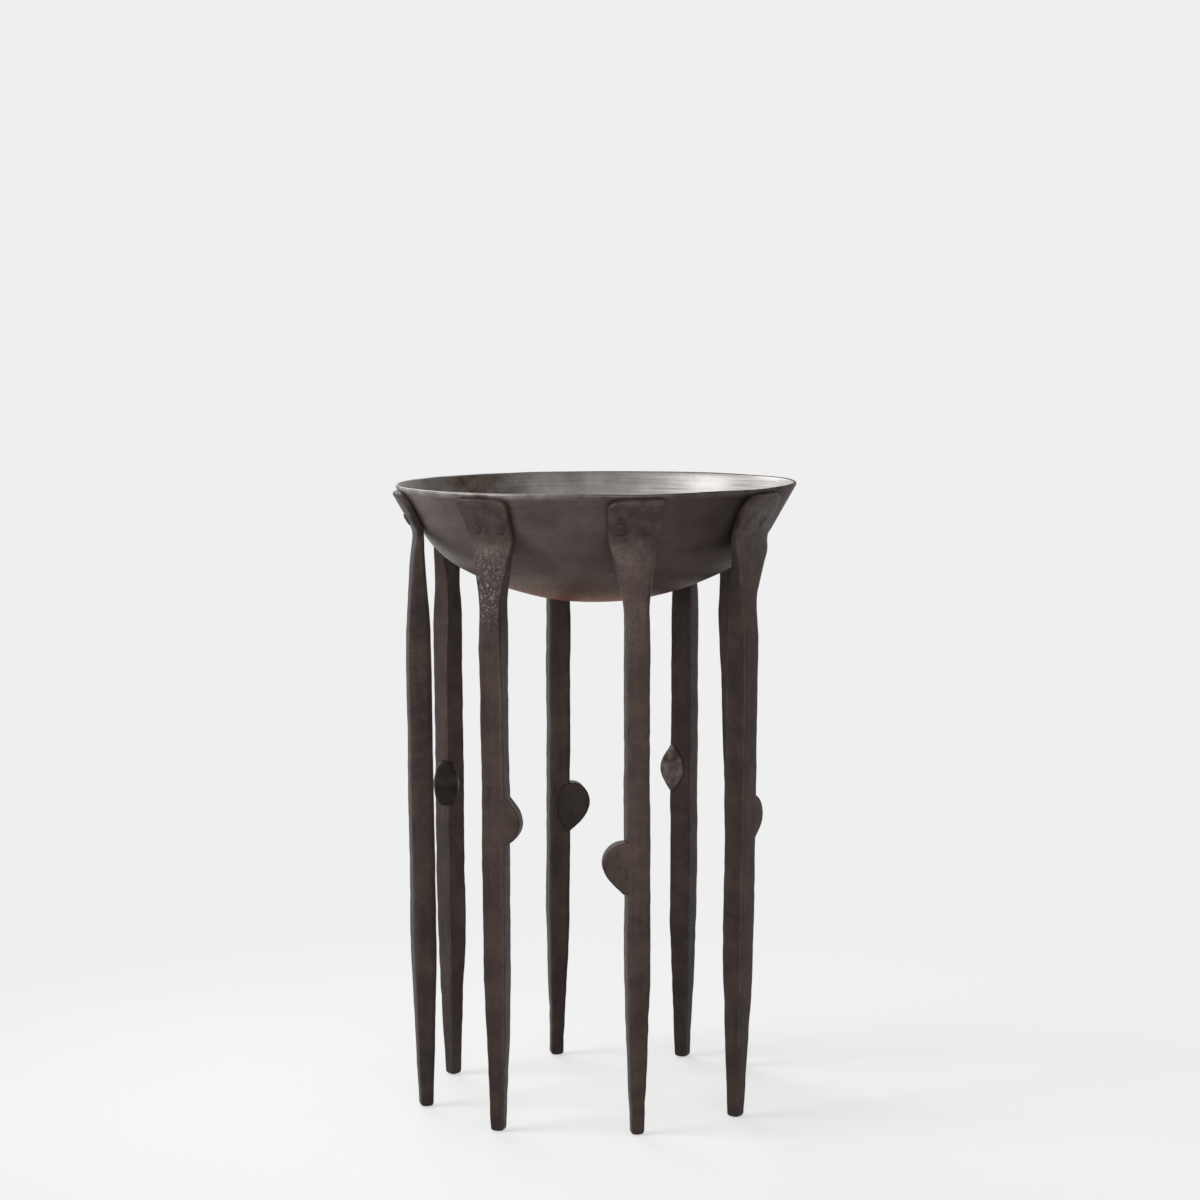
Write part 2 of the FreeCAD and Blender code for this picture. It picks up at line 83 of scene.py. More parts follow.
# %% [markdown]
# Two small helpers serve all the materials. Screens and colour pickers speak sRGB, while
# the renderer adds up light in linear values, so every colour is written as an sRGB hex
# value and turned to linear in one place. The other helper adds one node, sets it and
# links it, which keeps each material readable as a list.

# %% Helpers for materials
def colour(code):
    """Linear red, green, blue and alpha of an sRGB hex value."""
    channels = [int(code[start:start + 2], 16) / 255 for start in (1, 3, 5)]
    linear = [c / 12.92 if c <= 0.04045 else ((c + 0.055) / 1.055) ** 2.4 for c in channels]
    return (*linear, 1.0)


def add_node(tree, kind, sockets=None, **settings):
    """A new node with its settings; sockets holds values, or the outputs to link from."""
    node = tree.nodes.new(kind)
    for name, value in settings.items():
        setattr(node, name, value)
    for socket, value in (sockets or {}).items():
        if isinstance(value, bpy.types.NodeSocket):
            tree.links.new(value, node.inputs[socket])
        else:
            node.inputs[socket].default_value = value
    return node


def empty_tree(owner):
    owner.use_nodes = True
    owner.node_tree.nodes.clear()
    return owner.node_tree


def per_mm(size):
    """Texture scale at which one feature is this many millimetres wide."""
    return 1 / (size * MM)


MIX_A, MIX_B, MIX_RESULT = 6, 7, 2      # colour sockets of the Mix node
print("helpers ready")

# %% [markdown]
# The studio is a pale sweep with soft light. The camera and mirror-like reflections see
# the pale background at its own colour, while the light that falls on the object is set
# apart from it, so the background can't bleach the iron.

# %% Studio background
PALE = "#EFEFEF"
AMBIENT = 0.5


def seen_directly(tree):
    """1 for rays from the camera or off a mirror-like surface, and 0 for all others."""
    path = add_node(tree, "ShaderNodeLightPath")
    mirror = add_node(tree, "ShaderNodeMath", {
        0: path.outputs["Is Glossy Ray"], 1: path.outputs["Is Transmission Ray"]}, operation="MAXIMUM")
    seen = add_node(tree, "ShaderNodeMath", {
        0: path.outputs["Is Camera Ray"], 1: mirror.outputs[0]}, operation="MAXIMUM")
    return seen.outputs[0]


world = bpy.data.worlds.new("studio")
scene.world = world
tree = empty_tree(world)
soft = add_node(tree, "ShaderNodeBackground", {"Color": colour("#FFFFFF"), "Strength": AMBIENT})
pale = add_node(tree, "ShaderNodeBackground", {"Color": colour(PALE), "Strength": 1.0})
chosen = add_node(tree, "ShaderNodeMixShader", {
    0: seen_directly(tree), 1: soft.outputs[0], 2: pale.outputs[0]})
add_node(tree, "ShaderNodeOutputWorld", {0: chosen.outputs[0]})
print("background", PALE)

# %% [markdown]
# The floor is a wide plain sheet. Near the object it takes light and shadow like matt
# paper, and further out it fades into the background's own colour, so no horizon shows.

# %% Floor
FLOOR_HALF = 6.0
FADE_START, FADE_END = 0.1, 0.55
PAPER_SHARE = 0.45          # how much of the floor under the object shows real light and shadow

paper = bpy.data.materials.new("matt paper sweep")
tree = empty_tree(paper)
place = add_node(tree, "ShaderNodeTexCoord").outputs["Object"]
distance = add_node(tree, "ShaderNodeVectorMath", {0: place}, operation="LENGTH")
fade = add_node(tree, "ShaderNodeMapRange", {
    "Value": distance.outputs["Value"], "From Min": FADE_START, "From Max": FADE_END,
    "To Min": 1 - PAPER_SHARE, "To Max": 1.0}, interpolation_type="SMOOTHSTEP")
lit = add_node(tree, "ShaderNodeBsdfDiffuse", {"Color": colour(PALE)})
glow = add_node(tree, "ShaderNodeEmission", {"Color": colour(PALE), "Strength": 1.0})
faded = add_node(tree, "ShaderNodeMixShader", {
    0: fade.outputs[0], 1: lit.outputs[0], 2: glow.outputs[0]})
shown = add_node(tree, "ShaderNodeMixShader", {
    0: seen_directly(tree), 1: lit.outputs[0], 2: faded.outputs[0]})
add_node(tree, "ShaderNodeOutputMaterial", {0: shown.outputs[0]})

bm = bmesh.new()
bmesh.ops.create_grid(bm, x_segments=1, y_segments=1, size=FLOOR_HALF)
floor_mesh = bpy.data.meshes.new("floor")
bm.to_mesh(floor_mesh)
bm.free()
floor_mesh.materials.append(paper)
floor = bpy.data.objects.new("floor", floor_mesh)
scene.collection.objects.link(floor)
print("floor", 2 * FLOOR_HALF, "m wide")

# %% [markdown]
# Three soft lamps light the object. The strongest stands to the left, so the left faces of
# the legs and the right inside of the bowl catch it. A weaker one fills the front, and one
# above and behind draws a thin bright line along the rim.

# %% Lamps
LAMPS = {
    "window_left": {"place": (-2.0, -0.5, 1.3), "width": 1.4, "watts": 40.0, "tint": "#FFFFFF"},
    "fill_front": {"place": (0.3, -2.2, 0.7), "width": 1.6, "watts": 31.0, "tint": "#FFF8F2"},
    "rim_behind": {"place": (-0.7, 1.7, 1.7), "width": 1.2, "watts": 20.0, "tint": "#FFFFFF"},
}
LAMP_AIM = Vector((0, 0, 0.2))

for name, lamp in LAMPS.items():
    light = bpy.data.lights.new(name, "AREA")
    light.size = lamp["width"]
    light.energy = lamp["watts"]
    light.color = colour(lamp["tint"])[:3]
    stand = bpy.data.objects.new(name, light)
    stand.location = lamp["place"]
    stand.rotation_euler = (LAMP_AIM - stand.location).to_track_quat("-Z", "Y").to_euler()
    stand.visible_camera = False
    scene.collection.objects.link(stand)
print("lamps:", ", ".join(LAMPS))

# %% [markdown]
# The legs are mild steel bar, forged hot and blackened with oil. Forging leaves a skin of
# scale, so the surface is half metal and half dark oxide: brown-black, blotchy, satin, with
# a few rusty marks. Along the corners hands have rubbed it to bare grey metal. The mesh
# marks those corners in an attribute named worn, which also holds a painted highlight on the
# top edges and paddles made paler as painted light; patches of deep scale in one named pitted,
# where glints are painted too; and pieces darkened by painted shade in one named sooty. The
# colour is built up in layers: the shares are worked out first, and a loop then lays them
# over the oxide one by one.

# %% Colour of the forged bar
# Colours of the painted glints and of the painted shade.
PAINTED_GLINT, SHADE_PAINT = "#8C8689", "#140F0D"


def forged_colour(tree, place, dark, light, rust, bare):
    """Dark oxide in blotches, under rust marks, rubbed corners with painted highlights, painted glints
    between pits, and painted shade.
    """
    # Blotches of oxide, some 20 mm wide, and a finer mottle inside them.
    blotch = add_node(tree, "ShaderNodeTexNoise", {
        "Vector": place, "Scale": per_mm(20), "Detail": 6.0, "Roughness": 0.65})
    # Faint streaks run along the bar, which was drawn out lengthwise: 2.5 mm wide, 45 mm long.
    lengthwise = add_node(tree, "ShaderNodeVectorMath", {
        0: place, 1: (per_mm(2.5), per_mm(2.5), per_mm(45))}, operation="MULTIPLY")
    streaks = add_node(tree, "ShaderNodeTexNoise", {
        "Vector": lengthwise.outputs[0], "Scale": 1.0, "Detail": 3.0})
    mottle = add_node(tree, "ShaderNodeMath", {
        0: streaks.outputs["Fac"], 1: 0.3, 2: blotch.outputs["Fac"]}, operation="MULTIPLY_ADD")
    blotch_share = add_node(tree, "ShaderNodeMapRange", {
        "Value": mottle.outputs[0], "From Min": 0.52, "From Max": 0.8})
    oxide = add_node(tree, "ShaderNodeMix", {
        0: blotch_share.outputs[0], MIX_A: colour(dark), MIX_B: colour(light)}, data_type="RGBA")
    # Rust shows in spots of a few millimetres, not everywhere.
    spots = add_node(tree, "ShaderNodeTexNoise", {
        "Vector": place, "Scale": per_mm(9), "Detail": 5.0, "Roughness": 0.7})
    spot_share = add_node(tree, "ShaderNodeMapRange", {
        "Value": spots.outputs["Fac"], "From Min": 0.62, "From Max": 0.78, "To Max": 0.5})
    # Rubbed corners, and the painted highlights that share their mark, broken up so that they are uneven.
    wear_and_highlight = add_node(tree, "ShaderNodeAttribute", attribute_name="wear_and_highlight")
    rub = add_node(tree, "ShaderNodeTexNoise", {"Vector": place, "Scale": per_mm(7), "Detail": 4.0})
    rub_share = add_node(tree, "ShaderNodeMapRange", {
        "Value": rub.outputs["Fac"], "From Min": 0.38, "From Max": 0.66, "To Max": 0.2})
    wear_and_highlight_share = add_node(tree, "ShaderNodeMath", {
        0: wear_and_highlight.outputs["Fac"], 1: rub_share.outputs[0]}, operation="MULTIPLY")
    # Painted glints on the crooked edges between the pits, about two millimetres long.
    pitted = add_node(tree, "ShaderNodeAttribute", attribute_name="pitted")
    glints = add_node(tree, "ShaderNodeTexNoise", {
        "Vector": place, "Scale": per_mm(2.2), "Detail": 2.0, "Distortion": 2.0})
    glint = add_node(tree, "ShaderNodeMapRange", {
        "Value": glints.outputs["Fac"], "From Min": 0.56, "From Max": 0.68, "To Max": 0.62})
    painted_glint_share = add_node(tree, "ShaderNodeMath", {
        0: glint.outputs[0], 1: pitted.outputs["Fac"]}, operation="MULTIPLY")
    # Painted shade on some pieces, thinner where the blotches are.
    painted_shade = add_node(tree, "ShaderNodeAttribute", attribute_name="painted_shade")
    shade_paint_thinning = add_node(tree, "ShaderNodeMapRange", {
        "Value": blotch.outputs["Fac"], "From Min": 0.3, "From Max": 0.7, "To Min": 0.95,
        "To Max": 0.6})
    shade_paint_share = add_node(tree, "ShaderNodeMath", {
        0: painted_shade.outputs["Fac"], 1: shade_paint_thinning.outputs[0]}, operation="MULTIPLY")
    skin = oxide
    for share, code in ((spot_share, rust), (wear_and_highlight_share, bare), (painted_glint_share, PAINTED_GLINT), (shade_paint_share, SHADE_PAINT)):
        skin = add_node(tree, "ShaderNodeMix", {
            0: share.outputs[0], MIX_A: skin.outputs[MIX_RESULT], MIX_B: colour(code)}, data_type="RGBA")
    return skin.outputs[MIX_RESULT]


# The two colours printed here are the painted glint and the painted shade.
print("glints", PAINTED_GLINT, "and soot", SHADE_PAINT)

# %% [markdown]
# Scale is rough to the touch, and the hammer leaves dents. Both are too fine to model, so a
# bump tilts the normals instead: a grain, wide shallow dents, and pits where the mesh asks
# for them. The grain sets the roughness as well, so that the sheen is never quite even.

# %% Relief of the forged bar
def forged_relief(tree, place):
    """Roughness and tilted normals of the scale."""
    # Grain of the scale, drawn coarser than the real tenth of a millimetre so that it shows.
    grain = add_node(tree, "ShaderNodeTexNoise", {
        "Vector": place, "Scale": per_mm(1.4), "Detail": 4.0, "Roughness": 0.6})
    roughness = add_node(tree, "ShaderNodeMapRange", {
        "Value": grain.outputs["Fac"], "From Min": 0.3, "From Max": 0.7, "To Min": 0.4, "To Max": 0.62})
    # Hammer dents about 8 mm wide, and small pits in patches where the scale is deep.
    dents = add_node(tree, "ShaderNodeTexNoise", {"Vector": place, "Scale": per_mm(8), "Detail": 1.0})
    pits = add_node(tree, "ShaderNodeTexNoise", {
        "Vector": place, "Scale": per_mm(2.6), "Detail": 3.0, "Roughness": 0.75})
    pit_shape = add_node(tree, "ShaderNodeMapRange", {
        "Value": pits.outputs["Fac"], "From Min": 0.47, "From Max": 0.58})
    pitted = add_node(tree, "ShaderNodeAttribute", attribute_name="pitted")
    pit_depth = add_node(tree, "ShaderNodeMath", {
        0: pit_shape.outputs[0], 1: pitted.outputs["Fac"]}, operation="MULTIPLY")
    grain_height = add_node(tree, "ShaderNodeMath", {
        0: grain.outputs["Fac"], 1: 0.35, 2: dents.outputs["Fac"]}, operation="MULTIPLY_ADD")
    height = add_node(tree, "ShaderNodeMath", {
        0: pit_depth.outputs[0], 1: 2.6, 2: grain_height.outputs[0]}, operation="MULTIPLY_ADD")
    relief = add_node(tree, "ShaderNodeBump", {
        "Strength": 0.5, "Distance": 0.5 * MM, "Height": height.outputs[0]})
    return roughness.outputs[0], relief.outputs[0]


def forged_iron(name, dark, light, rust, bare):
    """Oil-blackened forged iron in the colours of one kind of piece."""
    material = bpy.data.materials.new(name)
    tree = empty_tree(material)
    place = add_node(tree, "ShaderNodeTexCoord").outputs["Object"]
    skin = forged_colour(tree, place, dark, light, rust, bare)
    roughness, relief = forged_relief(tree, place)
    iron = add_node(tree, "ShaderNodeBsdfPrincipled", {
        "Base Color": skin, "Metallic": 0.5, "Specular IOR Level": 0.25, "Roughness": roughness,
        "Normal": relief})
    add_node(tree, "ShaderNodeOutputMaterial", {0: iron.outputs[0]})
    return material


forged_bar = forged_iron("oil-blackened forged bar", "#2E2523", "#3E332E", "#553522", "#6E6A68")
rivet_iron = forged_iron("hammered rivet iron", "#302928", "#403733", "#4C3022", "#6A6664")
print("made", forged_bar.name, "and", rivet_iron.name)

# %% [markdown]
# The bowl is sheet, beaten over a stake and blackened like the bars, but smoother, so it
# has a satin sheen. The right side and the underside are painted darker as shade, so the
# share of a near-black colour follows the place on the bowl.

# %% Blackening of the bowl, and its painted shade
sheet_outside = bpy.data.materials.new("oil-blackened beaten sheet")
tree = empty_tree(sheet_outside)
place = add_node(tree, "ShaderNodeTexCoord").outputs["Object"]
blotch = add_node(tree, "ShaderNodeTexNoise", {
    "Vector": place, "Scale": per_mm(30), "Detail": 6.0, "Roughness": 0.6})
# Faint streaks run round the bowl, left by the planishing: 45 mm long and 3 mm high.
lying = add_node(tree, "ShaderNodeVectorMath", {
    0: place, 1: (per_mm(45), per_mm(45), per_mm(3))}, operation="MULTIPLY")
streaks = add_node(tree, "ShaderNodeTexNoise", {
    "Vector": lying.outputs[0], "Scale": 1.0, "Detail": 3.0})
mottle = add_node(tree, "ShaderNodeMath", {
    0: streaks.outputs["Fac"], 1: 0.22, 2: blotch.outputs["Fac"]}, operation="MULTIPLY_ADD")
blotch_share = add_node(tree, "ShaderNodeMapRange", {
    "Value": mottle.outputs[0], "From Min": 0.45, "From Max": 0.78})
oxide = add_node(tree, "ShaderNodeMix", {
    0: blotch_share.outputs[0], MIX_A: colour("#463C3A"), MIX_B: colour("#594F4C")}, data_type="RGBA")
# A near-black, laid on as painted shade.
painted_shade_tone = add_node(tree, "ShaderNodeMix", {
    0: blotch_share.outputs[0], MIX_A: colour("#1F1917"), MIX_B: colour("#302825")}, data_type="RGBA")
dish_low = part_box("bowl")[0].z
level = add_node(tree, "ShaderNodeSeparateXYZ", {0: place})
# Painted shade grows to the right and towards the underside.
shade_to_right = add_node(tree, "ShaderNodeMapRange", {
    "Value": level.outputs["X"], "From Min": -50 * MM, "From Max": 85 * MM, "To Max": 0.95})
shade_to_below = add_node(tree, "ShaderNodeMapRange", {
    "Value": level.outputs["Z"], "From Min": dish_low + 30 * MM, "From Max": dish_low + 6 * MM,
    "To Max": 0.38})
bowl_shade_share = add_node(tree, "ShaderNodeMath", {
    0: shade_to_right.outputs[0], 1: shade_to_below.outputs[0]}, operation="ADD", use_clamp=True)
# The oxide with the painted shade laid over it.
blackened = add_node(tree, "ShaderNodeMix", {
    0: bowl_shade_share.outputs[0], MIX_A: oxide.outputs[MIX_RESULT],
    MIX_B: painted_shade_tone.outputs[MIX_RESULT]}, data_type="RGBA")
print("underside of the bowl", round(dish_low / MM, 1), "mm above the floor")

# %% [markdown]
# A warm light reflected from below is painted on the underside: a warm brown at the very
# bottom, and a warm sheen that reaches higher. The sheen goes into the specular tint, which
# colours only what the sheet reflects, and it is dulled on the right as painted shade. The
# rim is rubbed to bare metal, and the bare colour is laid on more strongly on the left as a
# painted highlight.

# %% Painted warm reflection and bare rim
TINT_TOP, TINT_POWER = 14 * MM, 1.8     # where the painted warm brown ends, and how quickly it fades upwards
SHEEN_TOP, SHEEN_FULL = 34 * MM, 6 * MM
RIM_DULL, RIM_BRIGHT = 0.1, 0.5         # wear of the rim on the right, and on the left where it is also a painted highlight

warm_level = add_node(tree, "ShaderNodeMapRange", {
    "Value": level.outputs["Z"], "From Max": dish_low, "From Min": dish_low + TINT_TOP})
warm_depth = add_node(tree, "ShaderNodeMath", {
    0: warm_level.outputs[0], 1: TINT_POWER}, operation="POWER")
uneven = add_node(tree, "ShaderNodeMapRange", {
    "Value": blotch.outputs["Fac"], "From Min": 0.3, "From Max": 0.6, "To Min": 0.5, "To Max": 1.0})
warm_bounce_share = add_node(tree, "ShaderNodeMath", {
    0: warm_depth.outputs[0], 1: uneven.outputs[0]}, operation="MULTIPLY")
painted_bounce_tinted = add_node(tree, "ShaderNodeMix", {
    0: warm_bounce_share.outputs[0], MIX_A: blackened.outputs[MIX_RESULT],
    MIX_B: colour("#7E4520")}, data_type="RGBA")
# A warm sheen in the specular tint, painted reflected light.
sheen_level = add_node(tree, "ShaderNodeMapRange", {
    "Value": level.outputs["Z"], "From Min": dish_low + SHEEN_TOP, "From Max": dish_low + SHEEN_FULL})
warm_sheen = add_node(tree, "ShaderNodeMix", {
    0: sheen_level.outputs[0], MIX_A: colour("#FFFFFF"), MIX_B: colour("#D2A17E")}, data_type="RGBA")
# Reflections are dulled on the right as painted shade.
sheen = add_node(tree, "ShaderNodeMix", {
    0: shade_to_right.outputs[0], MIX_A: warm_sheen.outputs[MIX_RESULT],
    MIX_B: colour("#A3968F")}, data_type="RGBA")
wear_and_highlight = add_node(tree, "ShaderNodeAttribute", attribute_name="wear_and_highlight")
rub = add_node(tree, "ShaderNodeTexNoise", {"Vector": place, "Scale": per_mm(14), "Detail": 3.0})
rub_share = add_node(tree, "ShaderNodeMapRange", {
    "Value": rub.outputs["Fac"], "From Min": 0.35, "From Max": 0.6})
# More of the bare rim colour on the left, partly wear and partly a painted highlight.
wear_and_highlight_to_left = add_node(tree, "ShaderNodeMapRange", {
    "Value": level.outputs["X"], "From Min": 20 * MM, "From Max": -90 * MM, "To Min": RIM_DULL,
    "To Max": RIM_BRIGHT})
rim_wear = add_node(tree, "ShaderNodeMath", {
    0: wear_and_highlight.outputs["Fac"], 1: rub_share.outputs[0]}, operation="MULTIPLY")
wear_and_highlight_share = add_node(tree, "ShaderNodeMath", {
    0: rim_wear.outputs[0], 1: wear_and_highlight_to_left.outputs[0]}, operation="MULTIPLY")
skin = add_node(tree, "ShaderNodeMix", {
    0: wear_and_highlight_share.outputs[0], MIX_A: painted_bounce_tinted.outputs[MIX_RESULT], MIX_B: colour("#A8A4A1")}, data_type="RGBA")
# The warm tint printed here is painted light reflected from below.
print("heat tint ends", round(TINT_TOP / MM), "mm up the dish, its sheen", round(SHEEN_TOP / MM), "mm")

# %% [markdown]
# The last blows were struck with a planishing hammer, whose polished face leaves shallow
# round marks edge to edge. A smooth Voronoi pattern has just such cells, so it makes the
# bump, with a little grain on top.

# %% Relief of the bowl
grain = add_node(tree, "ShaderNodeTexNoise", {"Vector": place, "Scale": per_mm(2), "Detail": 4.0})
roughness = add_node(tree, "ShaderNodeMapRange", {
    "Value": grain.outputs["Fac"], "From Min": 0.3, "From Max": 0.7, "To Min": 0.34, "To Max": 0.48})
marks = add_node(tree, "ShaderNodeTexVoronoi", {
    "Vector": place, "Scale": per_mm(11), "Smoothness": 1.0}, feature="SMOOTH_F1")
height = add_node(tree, "ShaderNodeMath", {
    0: grain.outputs["Fac"], 1: 0.12, 2: marks.outputs["Distance"]}, operation="MULTIPLY_ADD")
relief = add_node(tree, "ShaderNodeBump", {
    "Strength": 0.25, "Distance": 0.4 * MM, "Height": height.outputs[0]})
iron = add_node(tree, "ShaderNodeBsdfPrincipled", {
    "Base Color": skin.outputs[MIX_RESULT], "Metallic": 0.6, "Specular IOR Level": 0.35,
    "Specular Tint": sheen.outputs[MIX_RESULT], "Roughness": roughness.outputs[0],
    "Normal": relief.outputs[0]})
add_node(tree, "ShaderNodeOutputMaterial", {0: iron.outputs[0]})
print("made", sheet_outside.name)

# %% [markdown]
# The inside was rubbed bright again with a brush, round and round, which leaves fine strokes.
# Brush strokes that run round the bowl need a coordinate that runs round it too. The
# direction from the axis, as a point on a circle, gives one without a seam, and radius plus
# height counts the strokes from the middle of the dish up to the rim.

# %% Bowl sheet inside
STROKE_LENGTH, STROKE_WIDTH = 30, 0.9   # millimetres; the real strokes are finer than a picture can show
STROKE_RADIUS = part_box("bowl")[1].x * 0.7       # where a stroke has just this length

sheet_inside = bpy.data.materials.new("brushed iron sheet")
tree = empty_tree(sheet_inside)
place = add_node(tree, "ShaderNodeTexCoord").outputs["Object"]
level = add_node(tree, "ShaderNodeSeparateXYZ", {0: place})
flat = add_node(tree, "ShaderNodeCombineXYZ", {"X": level.outputs["X"], "Y": level.outputs["Y"]})
radius = add_node(tree, "ShaderNodeVectorMath", {0: flat.outputs[0]}, operation="LENGTH")
circle = add_node(tree, "ShaderNodeVectorMath", {0: flat.outputs[0]}, operation="NORMALIZE")
around = add_node(tree, "ShaderNodeVectorMath", {
    0: circle.outputs[0], "Scale": STROKE_RADIUS * per_mm(STROKE_LENGTH)}, operation="SCALE")
climb = add_node(tree, "ShaderNodeMath", {
    0: radius.outputs["Value"], 1: level.outputs["Z"]}, operation="ADD")
stroke_number = add_node(tree, "ShaderNodeMath", {
    0: climb.outputs[0], 1: per_mm(STROKE_WIDTH)}, operation="MULTIPLY")
rings = add_node(tree, "ShaderNodeCombineXYZ", {"Z": stroke_number.outputs[0]})
stroke_place = add_node(tree, "ShaderNodeVectorMath", {
    0: around.outputs[0], 1: rings.outputs[0]}, operation="ADD")
strokes = add_node(tree, "ShaderNodeTexNoise", {
    "Vector": stroke_place.outputs[0], "Scale": 1.0, "Detail": 3.0})
# The right side is bright brushed steel and the left keeps its brown skin, with blotches between; the
# split also paints light on the right wall and shade on the left.
blotch = add_node(tree, "ShaderNodeTexNoise", {
    "Vector": place, "Scale": per_mm(24), "Detail": 8.0, "Roughness": 0.62})
painted_light_sideways = add_node(tree, "ShaderNodeMapRange", {
    "Value": level.outputs["X"], "From Min": -70 * MM, "From Max": 100 * MM, "To Min": -0.35,
    "To Max": 0.65})
steel_and_painted_light_share = add_node(tree, "ShaderNodeMath", {
    0: painted_light_sideways.outputs[0], 1: blotch.outputs["Fac"]}, operation="ADD", use_clamp=True)
steel = add_node(tree, "ShaderNodeMix", {
    0: strokes.outputs["Fac"], MIX_A: colour("#827E7C"), MIX_B: colour("#C4C1BF")}, data_type="RGBA")
skin = add_node(tree, "ShaderNodeMix", {
    0: steel_and_painted_light_share.outputs[0], MIX_A: colour("#34271B"), MIX_B: steel.outputs[MIX_RESULT]}, data_type="RGBA")
roughness = add_node(tree, "ShaderNodeMapRange", {
    "Value": strokes.outputs["Fac"], "From Min": 0.3, "From Max": 0.7, "To Min": 0.26, "To Max": 0.44})
relief = add_node(tree, "ShaderNodeBump", {
    "Strength": 0.3, "Distance": 0.15 * MM, "Height": strokes.outputs["Fac"]})
iron = add_node(tree, "ShaderNodeBsdfPrincipled", {
    "Base Color": skin.outputs[MIX_RESULT], "Metallic": 0.9, "Roughness": roughness.outputs[0],
    "Normal": relief.outputs[0]})
add_node(tree, "ShaderNodeOutputMaterial", {0: iron.outputs[0]})
print("made", sheet_inside.name)

# %% [markdown]
# Every mesh ends in the same way: its faces are shaded smooth apart from real corners, it
# gets its materials, and it is tied to the frame. Two steps serve several shapes: a section
# is spun about the axis, and a flat shape is drawn out. The hammer is a function too: it
# pushes each vertex along its normal by smooth noise, a wide swell and a finer dent.

# %% Helpers for meshes
SHARP_ANGLE = math.radians(38)
MERGE = 0.01 * MM                       # vertices closer than this become one
SEED_X, SEED_Y, SEED_Z = 7.3, 3.1, 5.7  # steps through the noise from one seed to the next


def keep_piece(bm, name, node, materials):
    """Turns a bmesh into a piece that stands for a solid of the frame."""
    mesh = bpy.data.meshes.new(name)
    bm.to_mesh(mesh)
    bm.free()
    mesh.shade_smooth()
    mesh.set_sharp_from_angle(angle=SHARP_ANGLE)
    for material in materials:
        mesh.materials.append(material)
    piece = bpy.data.objects.new(name, mesh)
    scene.collection.objects.link(piece)
    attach(piece, "root")
    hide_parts(node)
    return piece


def spin_section(bm, steps):
    """Spins a section about the Z axis into a closed shape."""
    bmesh.ops.spin(bm, geom=bm.verts[:] + bm.edges[:], cent=(0, 0, 0), axis=(0, 0, 1),
                   angle=2 * math.pi, steps=steps, use_merge=True)
    bmesh.ops.remove_doubles(bm, verts=bm.verts[:], dist=MERGE)
    bmesh.ops.recalc_face_normals(bm, faces=bm.faces[:])


def draw_out(bm, way):
    """Extrudes a flat shape and moves its new end."""
    drawn = bmesh.ops.extrude_face_region(bm, geom=bm.faces[:])
    end = [item for item in drawn["geom"] if isinstance(item, bmesh.types.BMVert)]
    bmesh.ops.translate(bm, verts=end, vec=way)


def hammer(bm, swell, swell_width, dent, dent_width, seed):
    """Wide and fine unevenness, as depths and widths in metres, different for each seed."""
    bm.normal_update()
    away = Vector((seed * SEED_X, seed * SEED_Y, seed * SEED_Z))
    moves = []
    for vert in bm.verts:
        wide = noise.noise(vert.co / swell_width + away) * swell
        fine = noise.noise(vert.co / dent_width - away) * dent
        moves.append(vert.normal * (wide + fine))
    for vert, move in zip(bm.verts, moves):
        vert.co += move


print("mesh helpers ready")

# %% [markdown]
# The bowl is a sheet of even thickness, so its section is drawn once and spun about the
# axis. One vertex starts at the bottom of the dish and is carried along: round the dish,
# round the bend, straight up the flared wall, over the rounded rim and back down the inside.
# The bend touches both the wall and the dish, which fixes the place of its middle.

# %% Bowl section
SHEET = 2.0 * MM
FLARE = math.radians(60)
BEND_RADIUS = 60.0 * MM
DISH_RADIUS = 164.5 * MM
RIM_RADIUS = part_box("bowl")[1].x
RIM_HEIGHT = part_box("bowl")[1].z
DOWN_WALL = Vector((math.cos(FLARE), math.sin(FLARE)))
OFF_WALL = Vector((math.sin(FLARE), -math.cos(FLARE)))


def wall_point(along, out):
    """Radius and height at a distance below the rim along the wall, and out from its outer face."""
    rim = Vector((RIM_RADIUS - SHEET / 2, RIM_HEIGHT - SHEET / 2))
    return rim - DOWN_WALL * along + OFF_WALL * (SHEET / 2 + out)


dish_centre = Vector((0, dish_low + DISH_RADIUS))
to_bend = wall_point(0, -BEND_RADIUS) - dish_centre
downhill = to_bend.dot(DOWN_WALL)
wall_length = downhill + math.sqrt(downhill ** 2 - to_bend.length_squared
                                   + (DISH_RADIUS - BEND_RADIUS) ** 2)
bend_centre = wall_point(wall_length, -BEND_RADIUS)
dish_angle = math.atan2(bend_centre.x, dish_centre.y - bend_centre.y)
print("wall", round(wall_length / MM, 1), "mm long")
print("dish turns", round(math.degrees(dish_angle), 1), "degrees")

# %% Bowl mesh
DISH_STEPS, BEND_STEPS, WALL_STEPS, RIM_STEPS, ROUND_STEPS = 18, 8, 10, 6, 192


def carry_round(bm, vert, centre, angle, steps):
    """Draws an arc in the section's plane from a vertex and gives its far end."""
    drawn = bmesh.ops.spin(bm, geom=[vert], cent=(centre.x, 0, centre.y), axis=(0, -1, 0),
                           angle=angle, steps=steps)
    return next(item for item in drawn["geom_last"] if isinstance(item, bmesh.types.BMVert))


def carry_straight(bm, vert, end, steps):
    step = (Vector((end.x, 0, end.y)) - vert.co) / steps
    for _ in range(steps):
        vert = bmesh.ops.extrude_vert_indiv(bm, verts=[vert])["verts"][0]
        vert.co += step
    return vert


